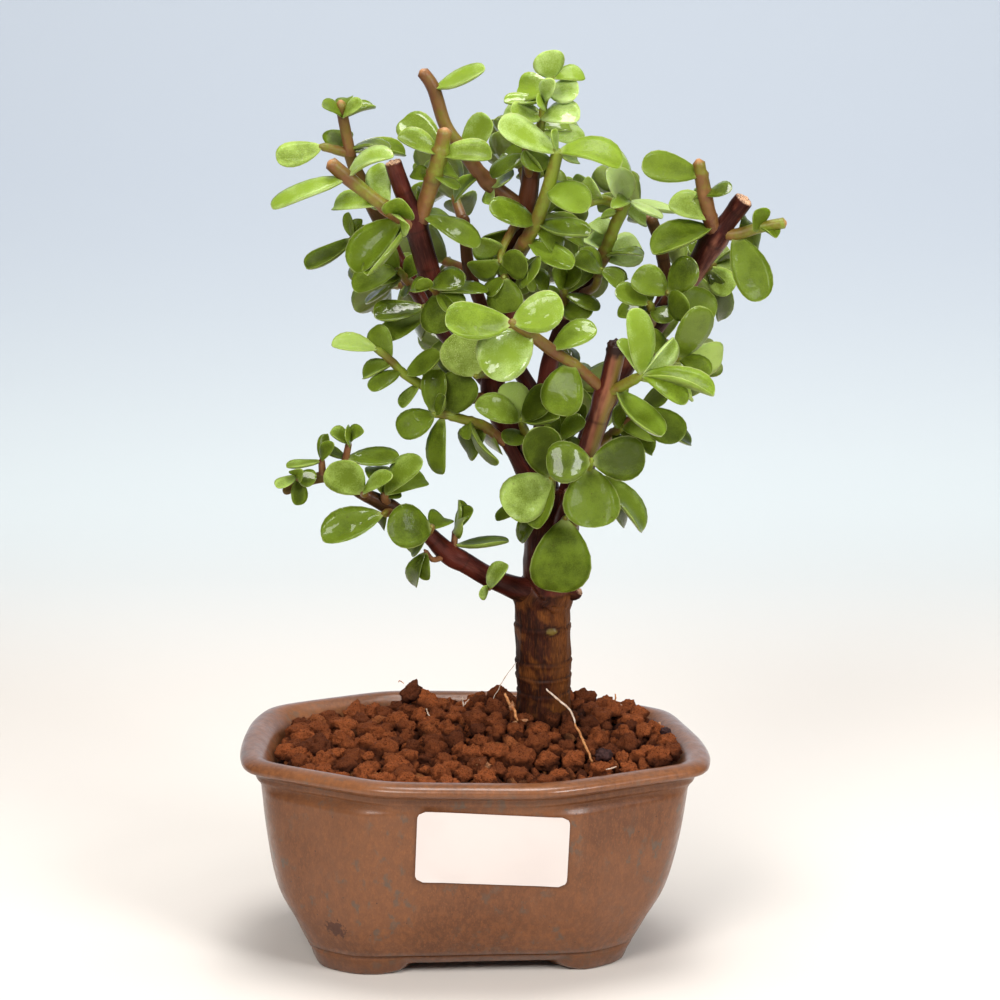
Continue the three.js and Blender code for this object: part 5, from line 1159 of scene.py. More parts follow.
    def build(self) -> None:
        """Makes the pot and pierces its floor."""
        piece = new_object("pot_glazed", self.skin().mesh("pot_glazed"), self.finish.material())
        radius, offset = self.drain
        drills = []
        for side in (-1, 1):
            place = Matrix.Rotation(self.foot_turn, 4, "Z") @ Vector((side * offset, 0, 0))
            skin = Skin([place + Vector((radius * math.cos(a), radius * math.sin(a), z))
                         for z in (-4, 14) for a in angles(32)])
            skin.tube(2, 32)
            drills.append(new_object(f"drill_{side + 1}", skin.mesh("drill")))
            cut = piece.modifiers.new("drain", "BOOLEAN")
            cut.object = drills[-1]
            cut.solver = "EXACT"
        frozen(piece)
        for drill in drills:
            bpy.data.objects.remove(drill)
        dress(piece, Slot.GLAZE, "pot")


def scatter_tree() -> bpy.types.NodeTree:
    """Builds the tree that strews lumps over a surface."""
    tree = Group("strewn_grains", "GeometryNodeTree", {
        "Geometry": "Geometry", "Grains": "Collection", "Spacing": 0.004, "Density": 90000.0,
        "Smallest": 0.8, "Largest": 1.2, "Seed": 1, "Finish": "Material"}, {"Geometry": "Geometry"})
    given = tree.given

    def chance(kind: str, low: Value, high: Value, shift: int) -> Node:
        """Adds a random value for each point."""
        seed = tree.node("FunctionNodeIntegerMath", {0: given["Seed"], 1: shift})
        return tree.node("FunctionNodeRandomValue", {"Min": low, "Max": high, "Seed": seed}, data_type=kind)

    spread = tree.node("DistributePointsOnFaces", {
        "Mesh": given["Geometry"], "Distance Min": given["Spacing"], "Density Max": given["Density"],
        "Seed": given["Seed"]}, distribute_method="POISSON")
    toned = tree.node("StoreNamedAttribute", {"Geometry": spread, "Name": "tone",
                                              "Value": chance("FLOAT", 0, 1, 1)})
    lumps = tree.node("CollectionInfo", {"Collection": given["Grains"], "Separate Children": True,
                                         "Reset Children": True})
    turn = tree.node("FunctionNodeEulerToRotation",
                     {"Euler": chance("FLOAT_VECTOR", (0, 0, 0), (6.28, 6.28, 6.28), 2)})
    sown = tree.node("InstanceOnPoints", {
        "Points": toned, "Instance": lumps, "Pick Instance": True, "Instance Index": chance("INT", 0, 5, 3),
        "Rotation": turn, "Scale": chance("FLOAT", given["Smallest"], given["Largest"], 4)})
    real = tree.node("SetShadeSmooth", {"Geometry": tree.node("RealizeInstances", {"Geometry": sown})})
    made = tree.node("SetMaterial", {"Geometry": real, "Material": given["Finish"]})
    return tree.close({"Geometry": made})


def run_tree(name: str, mesh: bpy.types.Mesh, group: bpy.types.NodeTree, values: dict) -> bpy.types.Object:
    """Runs a geometry tree on a mesh.

    Args:
        name: the new piece's name.
        mesh: what the tree starts from.
        group: the tree.
        values: input name to value.

    Returns:
        The piece, as a plain mesh.
    """
    piece = new_object(name, mesh)
    modifier = piece.modifiers.new("grow", "NODES")
    modifier.node_group = group
    for socket in group.interface.items_tree:
        if socket.in_out == "INPUT" and socket.name in values:
            modifier[socket.identifier] = values[socket.name]
    return frozen(piece)


def hidden_collection(name: str, meshes: Sequence[bpy.types.Mesh]) -> bpy.types.Collection:
    """Keeps meshes for instancing in a collection that isn't in the scene."""
    collection = bpy.data.collections.new(name)
    for i, mesh in enumerate(meshes):
        collection.objects.link(bpy.data.objects.new(f"{name}_{i}", mesh))
    return collection


def drop_collection(collection: bpy.types.Collection) -> None:
    """Removes a collection and what it holds."""
    for piece in list(collection.objects):
        bpy.data.objects.remove(piece)
    bpy.data.collections.remove(collection)


@lru_cache
def ball(rounds: int) -> tuple[list[Vector], list[tuple[int, ...]]]:
    """Returns the points and faces of a ball of radius 1 made of near-even triangles."""
    tall = (1 + math.sqrt(5)) / 2
    points = [Vector(p).normalized() for a in (-1, 1) for b in (-tall, tall)
              for p in ((a, b, 0), (0, a, b), (b, 0, a))]
    edge = min((p - points[0]).length for p in points[1:]) * 1.05
    near = [[j for j, q in enumerate(points) if j != i and (p - q).length < edge]
            for i, p in enumerate(points)]
    faces = [(i, j, k) for i in range(12) for j in near[i] for k in near[j]
             if i < j < k and k in near[i]]
    faces = [f if (points[f[1]] - points[f[0]]).cross(points[f[2]] - points[f[0]]).dot(points[f[0]]) > 0
             else f[::-1] for f in faces]
    for _ in range(rounds):
        middles: dict[tuple[int, int], int] = {}

        def middle(i: int, j: int) -> int:
            """Returns the number of the point between two points, made once."""
            key = (min(i, j), max(i, j))
            if key not in middles:
                middles[key] = len(points)
                points.append((points[i] + points[j]).normalized())
            return middles[key]

        finer = []
        for i, j, k in faces:
            a, b, c = middle(i, j), middle(j, k), middle(k, i)
            finer += [(i, a, c), (a, j, b), (c, b, k), (a, b, c)]
        faces = finer
    return points, faces


def lump(rounds: int, seed: int, size: float, roughness: float) -> Skin:
    """Returns a crumb of clay: an uneven, slightly flattened ball of that size across."""
    random = Seeded(seed)
    shift = Vector((random.draw(0, 50), random.draw(0, 50), random.draw(0, 50)))
    squash = Vector((1, random.draw(0.72, 0.98), random.draw(0.62, 0.88)))
    points, faces = ball(rounds)
    grown = []
    for point in points:
        swell = 1 + roughness * (noise.noise(point * 1.2 + shift) + 0.55 * noise.noise(point * 2.9 + shift))
        if rounds > 2:
            swell -= roughness * 0.4 * abs(noise.noise(point * 5.2 + shift))
            swell += roughness * 0.3 * noise.noise(point * 9 + shift)
        grown.append(Vector(a * b for a, b in zip(point * swell * size / 2, squash)))
    # how low a point lies on the crumb: the clay finish darkens this side as painted shade
    low = [1 - smooth(2 * point.z / size, -0.35, 0.35) for point in grown]
    return Skin(grown, list(faces), {"wet": [0.0] * len(grown), "low": low})


@dataclass
class Soil:
    """Coarse clay grains, mounded at the trunk, with a few large lumps on top."""

    pot: Pot
    level: float = 54.2
    mound: float = 9
    bank: float = 2.4  # how much higher the grains lie in the corner at the front right
    trunk: tuple[float, float] = (18.5, 8.5)
    spread: tuple[float, float] = (34, 30)
    depth_of_bed: float = 2.4
    bottom: float = 8.4
    rings: int = 26
    around: int = 120
    # Large lumps with a place of their own: x, y, size across and how far they are lifted.
    lumps: Sequence[Row] = ((-18, 26.5, 7.4, 5.6), (-14, 25, 7.2, 2.6), (-19, 24.5, 6.6, 1),
                            (-10, 27, 6.4, 0.8), (-43, -4, 8.2, 0.6), (-47.5, 6, 6.4, 0.6),
                            (-36, 16, 7, 0.4), (12, -24, 7.6, 0.4), (19, -24, 6.8, 0.3), (6, 21, 7, 2),
                            (30, 21, 6.6, 0.5), (41, -12, 7, 0.3))
    lump_sizes: tuple[float, float] = (5.4, 8.4)
    tries: int = 2600
    clear: float = 8.6
    # The finer grains: name, size, rounds of the ball, inset, how far lowered, spacing and seed.
    grains: Sequence[tuple] = (("soil_medium", 3.8, 1, 1.8, 0.7, 3.1, 5),
                               ("soil_fine", 1.8, 0, 0.8, 1.1, 1.8, 8))
    kinds: int = 6
    finish: GrainFinish = GrainFinish()

    def height(self, x: float, y: float) -> float:
        """Returns the soil's level at a place."""
        away = math.hypot((x - self.trunk[0]) / self.spread[0], (y - self.trunk[1]) / self.spread[1])
        piled = smooth(x, 38, 54) * (1 - smooth(y, -8, 10))
        return self.level + self.mound * math.exp(-away * away) + self.bank * piled

    def from_trunk(self, x: float, y: float) -> float:
        """Returns the distance from the trunk's middle."""
        return math.hypot(x - self.trunk[0], y - self.trunk[1])

    def bed(self, skin: Skin, distance: float, lowered: float) -> int:
        """Adds the bed's upper face to a skin, to a distance from the wall; returns its last ring."""
        row = inset(self.pot.hollow[0], distance, self.level)
        skin.points.append(Vector((0, 0, self.height(0, 0) - lowered)))
        for ring in range(1, self.rings + 1):
            for angle in angles(self.around):
                x, y = self.pot.at(angle, row).xy * ring / self.rings
                skin.points.append(Vector((x, y, self.height(x, y) - lowered)))
        skin.faces += [(0, 1 + i, 1 + (i + 1) % self.around) for i in range(self.around)]
        for ring in range(1, self.rings):
            first = 1 + (ring - 1) * self.around
            skin.strip(first + self.around, first, self.around)
        return 1 + (self.rings - 1) * self.around

    def build(self) -> None:
        """Makes the bed, two sizes of grains and the lumps."""
        clay = self.finish.material()
        self.build_bed(clay)
        tree = scatter_tree()
        for name, size, rounds, distance, lowered, spacing, seed in self.grains:
            emitter = Skin()
            self.bed(emitter, distance, lowered)
            clear = [self.from_trunk(*point.xy) > self.clear - 0.8 for point in emitter.points]
            emitter.faces = [face for face in emitter.faces if all(clear[i] for i in face)]
            crumbs = [lump(rounds, 20 * seed + i, size, 0.5) for i in range(self.kinds)]
            shapes = hidden_collection(f"{name}_shapes", [
                new_mesh("crumb", [p * MM for p in crumb.points], [], crumb.faces,
                         {"low": crumb.values["low"]}) for crumb in crumbs])
            piece = run_tree(name, emitter.mesh(name), tree, {
                "Grains": shapes, "Spacing": spacing * MM, "Density": 4e5, "Smallest": 0.72,
                "Largest": 1.2, "Seed": seed, "Finish": clay})
            drop_collection(shapes)
            dress(self.moistened(piece), Slot.SOIL, "soil")
        self.build_lumps(clay)

    def moistened(self, piece: bpy.types.Object) -> bpy.types.Object:
        """Stores how damp the grains are, damper close to the trunk's front and right."""
        places = np.empty(len(piece.data.vertices) * 3, np.float32)
        piece.data.vertices.foreach_get("co", places)
        places = places.reshape(-1, 3) / MM - np.array(MIDDLE)
        away = np.hypot((places[:, 0] - self.trunk[0] - 3) / 13, (places[:, 1] - self.trunk[1] + 4) / 12)
        row = np.clip(1.3 - away, 0, 1) * 0.95
        layer = piece.data.attributes.get("wet") or piece.data.attributes.new("wet", "FLOAT", "POINT")
        layer.data.foreach_set("value", row.astype(np.float32))
        return piece

    def build_bed(self, clay: bpy.types.Material) -> None:
        """Makes the body of soil under the grains, darkened all over as painted shade between them."""
        skin = Skin()
        first = self.bed(skin, 0.4, self.depth_of_bed)
        for row in self.pot.hollow[1:]:
            second = len(skin.points)
            row = inset(row, 0.3, max(row[0], self.bottom))
            skin.points += [self.pot.at(angle, row) for angle in angles(self.around)]
            skin.strip(second, first, self.around)
            first = second
        skin.fan(first, len(skin.points), self.around, True)
        skin.points.append(Vector((0, 0, self.bottom)))
        # "low" at 1 has the clay finish paint the whole bed dark, as the shade between the grains
        skin.values = {name: [value] * len(skin.points)
                       for name, value in (("tone", 0.1), ("wet", 0.5), ("low", 1.0))}
        skin.piece("soil_bed", clay, Slot.SOIL, "soil")

    def places(self) -> Iterator[Row]:
        """Yields each lump's place, size and lift: the given ones, then as many as find room."""
        taken = list(self.lumps)
        yield from taken
        random = Seeded(12)
        row = inset(self.pot.hollow[0], 0, self.level)
        for _ in range(self.tries):
            x, y, size = random.draw(-56, 56), random.draw(-40, 40), random.draw(*self.lump_sizes)
            size *= mix(0.78, 1, random.draw())
            room = self.pot.room(x, y, row) - size * 0.42 + 2 * smooth(x, 38, 50) * (y < 4)
            if math.hypot(x, y) <= room and self.from_trunk(x, y) >= self.clear + size * 0.3 and not any(
                    math.hypot(x - a, y - b) < (size + other) * 0.43 for a, b, other, _ in taken):
                taken.append((x, y, size, 0.0))
                yield taken[-1]

    def build_lumps(self, clay: bpy.types.Material) -> None:
        """Makes the large crumbly lumps that lie uppermost, each one of its own shape."""
        whole = Skin()
        random = Seeded(31)
        for i, (x, y, size, lift) in enumerate(self.places()):
            skin = lump(3, 300 + i, size, 0.46)
            turn, lean = random.draw(0, 6.28), random.draw(-0.5, 0.5)
            matrix = Matrix.Rotation(turn, 4, "Z") @ Matrix.Rotation(lean, 4, "X")
            top = Vector((x, y, self.height(x, y) + size * 0.12 + lift))
            skin.points = [matrix @ point + top for point in skin.points]
            skin.values["tone"] = [random.draw(0.1, 0.92)] * len(skin.points)
            whole.add(skin)
        piece = new_object("soil_lumps", whole.mesh("soil_lumps"), clay)
        dress(self.moistened(piece), Slot.SOIL, "soil")


@dataclass
class Label:
    """A blank paper sticker that follows the pot's front."""

    pot: Pot
    width: float = 40
    height: float = 20
    corner: float = 2.1
    thickness: float = 0.22
    gap: float = 0.34
    lifted_ends: float = 0.28
    x: float = 4.4
    z: float = 39.5
    tilt: float = math.radians(2.5)
    columns: int = 48
    rows: int = 24
    finish: PaperFinish = PaperFinish()

    def front(self, x: float, z: float) -> float:
        """Returns the depth of the pot's front wall at x, z."""
        row = self.pot.wall_row(z)
        across, y = x - self.pot.shift_at(z), -row[2] / 2
        for _ in range(5):
            r = self.pot.room(across, y, row)
            y = -math.sqrt(r * r - across * across)
        return y

    def build(self) -> None:
        """Makes the sticker."""
        skin = Skin()
        c, s = math.cos(-self.tilt), math.sin(-self.tilt)
        for side in (0, 1):
            for row in range(self.rows + 1):
                up = mix(-self.height / 2, self.height / 2, row / self.rows)
                over = max(0.0, abs(up) - (self.height / 2 - self.corner))
                half = self.width / 2 - (self.corner - math.sqrt(max(self.corner ** 2 - over ** 2, 0.0)))
                for column in range(self.columns + 1):
                    across = mix(-half, half, column / self.columns)
                    x, z = self.x + across * c - up * s, self.z + across * s + up * c
                    ends = smooth(abs(across), half - 6, half) * smooth(abs(up), 5, self.height / 2)
                    lift = self.gap + self.lifted_ends * ends + (self.thickness if side else 0)
                    ripple = 0.05 * noise.noise(Vector((x * 0.2, z * 0.2, 4)))
                    skin.points.append(Vector((x, self.front(x, z) - lift - ripple, z)))
        count = self.columns + 1
        size = count * (self.rows + 1)
        for row in range(self.rows):
            for column in range(self.columns):
                a = row * count + column
                skin.faces.append((size + a, size + a + 1, size + a + count + 1, size + a + count))
                skin.faces.append((a, a + count, a + count + 1, a + 1))
        rim = [*range(count), *(row * count + self.columns for row in range(1, self.rows + 1)),
               *range(size - 2, size - count - 1, -1),
               *(row * count for row in range(self.rows - 1, 0, -1))]
        for i, j in zip(rim, rim[1:] + rim[:1]):
            skin.faces.append((i, j, size + j, size + i))
        piece = skin.piece("label_blank", self.finish.material(), Slot.PAPER, "label")
        piece.data.polygons.foreach_set("use_smooth", [False] * len(piece.data.polygons))


# ---------------------------------------------------------------- leaves and stems
@dataclass
class Leaf:
    """A blade: root, tip and width in millimetres, its form, its directions and its own look."""

    base: Vector
    tip: Vector
    width: float
    form: int
    along: Vector
    up: Vector
    across: Vector
    look: Row = ()

    @property
    def length(self) -> float:
        """The distance from root to tip."""
        return (self.tip - self.base).length


@dataclass(frozen=True)
class LeafRule:
    """How leaves are shaped and placed, and how one that would cross another plant part gives way."""

    # Fold across the blade and bow along it, for each form.
    forms: Sequence[tuple[float, float]] = ((0.1, 0.03), (0.24, -0.05), (0.5, 0.02), (0.14, 0.09),
                                            (0.4, -0.1), (0.3, 0.1))
    sizes: Sequence[float] = (1, 0.88, 0.76, 0.64)
    swings: Sequence[tuple[float, float]] = (
        (0, 0), (0, 0.22), (0.22, 0), (-0.22, 0), (0, -0.22), (0.3, 0.3), (-0.3, 0.3), (0, 0.5),
        (0.3, -0.3), (-0.3, -0.3), (0.5, 0), (-0.5, 0), (0, -0.5), (0.55, 0.5), (-0.55, 0.5), (0, 0.85))
    fullness: float = 1.12
    thickness: float = 1.9
    long_leaf: float = 15
    small_leaf: float = 9
    rear_roll: float = 0.9
    rear_spread: float = 1.2
    rear_width: float = 0.66
    near: float = 0.08 * MM  # how close a corner of a solid has to lie to be the leaf's own

    @staticmethod
    def shape(share: float) -> float:
        """Returns the blade's width at a share of its length, 1 where it is widest."""
        return share ** 0.75 * (1 - share) ** 0.42 / 0.4656

    @staticmethod
    def leaf(base: Vector, tip: Vector, width: float, form: int, stemward: Vector,
             face: float | None, look: Row = ()) -> Leaf:
        """Returns a leaf whose upper face turns to the stem's end, or by an angle from the eye."""
        along = (tip - base).normalized()
        up = to_end = stemward - along * stemward.dot(along)
        if face is not None:
            view = (EYE - base).normalized()
            view = (view - along * view.dot(along)).normalized()
            edge = along.cross(view)
            if edge.dot(to_end) < 0:
                edge.negate()
            turn = math.radians(face)
            up = view * math.cos(turn) + edge * math.sin(turn)
        up = up.normalized()
        return Leaf(base, tip, width, form, along, up, up.cross(along), look)

    def on_drawn(self, stem: Stem, random: Seeded) -> Iterator[Leaf]:
        """Yields the leaves that a drawn stem carries."""
        points = [placed(x, z, depth) for x, z, depth, _ in stem.route]
        for place, x, z, depth, width, face, *look in stem.leaves:
            at, direction = stem_point(points, place)
            form = int(random.draw() * len(self.forms))
            yield self.leaf(at, placed(x, z, depth), width, form, direction, face, look)

    def on_rear(self, spray: RearSpray, stem: Stem, random: Seeded) -> Iterator[Leaf]:
        """Yields crosswise pairs of leaves along a rear spray, smaller towards its tip."""
        points = [placed(x, z, depth) for x, z, depth, _ in stem.route]
        for pair in range(spray.pairs):
            share = (pair + 1) / spray.pairs
            at, direction = stem_point(points, 0.35 + 1.65 * share)
            level = Vector((0, 0, 1)).cross(direction).normalized()
            roll = self.rear_roll + pair * math.pi / 2 + 0.35 * (random.draw() - 0.5)
            length = spray.size * mix(1, 0.72, share) * mix(0.85, 1.1, random.draw())
            for opposite in (0, math.pi):
                out = Quaternion(direction, roll + opposite) @ level
                spread = self.rear_spread - 0.35 * share + 0.3 * (random.draw() - 0.5)
                tip = at + direction * length * math.cos(spread) + out * length * math.sin(spread)
                form = int(random.draw() * len(self.forms))
                width = length * self.rear_width * mix(0.9, 1.15, random.draw())
                yield self.leaf(at, tip, width, form, direction, None)

    @staticmethod
    def swung(leaf: Leaf, size: float, swing: tuple[float, float]) -> Leaf:
        """Returns the leaf made smaller and swung sideways and upwards about its root."""
        turn = Quaternion(leaf.across, -swing[1]) @ Quaternion(leaf.up, swing[0])
        along = turn @ leaf.along
        return Leaf(leaf.base, leaf.base + along * leaf.length * size, leaf.width * size, leaf.form,
                    along, turn @ leaf.up, turn @ leaf.across, leaf.look)

    def corners(self, leaf: Leaf) -> list[Vector]:
        """Returns the corners that the leaf's plain solid has."""
        fold, bow = self.forms[leaf.form]
        length = leaf.length
        thickness = self.thickness * (1 if length > self.small_leaf else 0.85) / 2
        corners = [leaf.tip]
        for share in (0.24, 0.6, 0.9) if length > self.long_leaf else (0.4, 0.84):
            half = self.fullness * leaf.width / 2 * self.shape(share)
            middle = leaf.base + leaf.along * share * length \
                + leaf.up * 4 * bow * length * share * (1 - share)
            for side, high in ((-half, fold * half), (half, fold * half),
                               (0, -0.35 * fold * half - thickness)):
                corners.append(middle + leaf.across * side + leaf.up * high)
        return corners

    def as_packed(self, leaf: Leaf, tree: kdtree.KDTree) -> Leaf | None:
        """Finds the size and swing that a leaf's solid took.

        Args:
            leaf: the leaf as drawn.
            tree: the corners of the spray's solid, in metres.

        Returns:
            The leaf as it stands, or None where it has no solid.
        """
        best, most = None, 0.45
        for size in self.sizes:
            for swing in self.swings:
                tried = self.swung(leaf, size, swing)
                tip, *others = (to_frame(corner) for corner in self.corners(tried))
                hit = tree.find(tip)[2]
                if hit > self.near and most > 0.5:
                    continue
                met = ((hit < self.near) + sum(tree.find(corner)[2] < self.near for corner in others))
                if met / (1 + len(others)) > most:
                    best, most = tried, met / (1 + len(others))
        return best


LEAF_RULE = LeafRule()


def stem_point(points: Sequence[Vector], place: float) -> tuple[Vector, Vector]:
    """Finds a place along a route; 1.5 is midway on its second stretch.

    Args:
        points: the route.
        place: the place; past the end, it lies straight on.

    Returns:
        The point there and the route's direction.
    """
    index = min(int(place), len(points) - 2)
    run = points[index + 1] - points[index]
    at = points[index].lerp(points[index + 1], place - index) if place - index <= 1 \
        else points[index + 1] + run * (place - index - 1)
    return at, run.normalized()


@dataclass(frozen=True)
class BladeShape:
    """A leaf of length 1, thick and rounded, along +Y with its upper face to +Z."""

    rings: Sequence[float] = (0.035, 0.12, 0.27, 0.43, 0.59, 0.73, 0.85, 0.93, 0.97, 0.993)
    top: Sequence[float] = (-1, -0.66, 0, 0.66, 1)
    bottom: Sequence[float] = (0.55, -0.55)
    ratio: float = 0.6  # typical width for the length
    thick: float = 0.125
    sweep: float = 0.035

    def mesh(self, form: int, side: int) -> bpy.types.Mesh:
        """Returns the blade of one form, curved a little to one side."""
        fold, bow = LEAF_RULE.forms[form]
        points = [Vector((0, -0.02, 0))]
        rows = [(0.0, 0.0, 0.5)]
        for share in self.rings:
            half = 0.5 * LEAF_RULE.shape(share)
            fat = self.thick * min(1, (share * (1 - share) * 4) ** 0.45 * 1.06)
            arch = 4 * bow * share * (1 - share) - 0.05 * share ** 4
            bend = side * self.sweep * math.sin(math.pi * share)
            for i, across in enumerate((*self.top, *self.bottom)):
                under = i >= len(self.top)
                sheet = fold * half * self.ratio * abs(across) ** 1.6 * 1.3
                high = sheet + (-0.62 if under else 0.38) * fat * max(0, 1 - abs(across) ** 2.4)
                wave = 0.012 * math.sin(7 * share + 2 * form) * across
                points.append(Vector((across * half + bend, share, high + arch + wave)))
                rows.append((share, across, float(under)))
        points.append(Vector((0, 1, -0.05)))
        rows.append((1.0, 0.0, 0.2))
        skin = Skin()
        count = len(self.top) + len(self.bottom)
        for ring in range(len(self.rings) - 1):
            skin.strip(1 + ring * count, 1 + (ring + 1) * count, count)
        last = len(points) - 1
        for i in range(count):
            j = (i + 1) % count
            skin.faces.append((0, 1 + j, 1 + i))
            skin.faces.append((last - count + i, last - count + j, last))
        values = dict(zip(("along", "across", "under"), zip(*rows)))
        return new_mesh(f"blade_{form}_{side + 1}", points, [], [face[::-1] for face in skin.faces], values)


def spray_tree() -> bpy.types.NodeTree:
    """Builds the tree that grows a leafy spray from its stem lines and leaf points."""
    tree = Group("leafy_spray", "GeometryNodeTree", {
        "Geometry": "Geometry", "Blades": "Collection", "Step": 0.0011, "Sides": 12,
        "Stem skin": "Material", "Leaf skin": "Material"}, {"Geometry": "Geometry"})
    given = tree.given

    def named(name: str, kind: str = "FLOAT") -> Node:
        """Adds an attribute of the points."""
        return tree.node("InputNamedAttribute", {"Name": name}, data_type=kind)

    is_stem = tree.node("FunctionNodeCompare", {0: named("is_stem"), 1: 0.5}, data_type="FLOAT",
                        operation="GREATER_THAN")
    parts = tree.node("SeparateGeometry", {"Geometry": given["Geometry"], "Selection": is_stem}).outputs
    lines = tree.node("CurveSplineType", {"Curve": tree.node("MeshToCurve", {"Mesh": parts[0]})},
                      spline_type="CATMULL_ROM")
    even = tree.node("ResampleCurve", {"Curve": lines, "Length": given["Step"]}, mode="LENGTH")
    circle = tree.node("CurvePrimitiveCircle", {"Resolution": given["Sides"], "Radius": 1})
    tube = tree.node("CurveToMesh", {"Curve": even, "Profile Curve": circle, "Scale": named("girth"),
                                     "Fill Caps": True})
    stems = tree.node("SetMaterial", {"Geometry": tube, "Material": given["Stem skin"]})
    turn = tree.node("FunctionNodeAxesToRotation", {
        "Primary Axis": named("up", "FLOAT_VECTOR"), "Secondary Axis": named("ahead", "FLOAT_VECTOR")},
        primary_axis="Z", secondary_axis="Y")
    blades = tree.node("CollectionInfo", {"Collection": given["Blades"], "Separate Children": True,
                                          "Reset Children": True})
    form = tree.node("FunctionNodeFloatToInt", {0: named("form")}, rounding_mode="ROUND")
    set_out = tree.node("InstanceOnPoints", {
        "Points": parts[1], "Instance": blades, "Pick Instance": True, "Instance Index": form,
        "Rotation": turn, "Scale": named("size", "FLOAT_VECTOR")})
    real = tree.node("RealizeInstances", {"Geometry": set_out})
    leaves = tree.node("SetMaterial", {"Geometry": real, "Material": given["Leaf skin"]})
    whole = tree.node("JoinGeometry")
    for part in (stems, leaves):
        tree.feed(whole, {0: part})
    return tree.close({"Geometry": tree.node("SetShadeSmooth", {"Geometry": whole})})


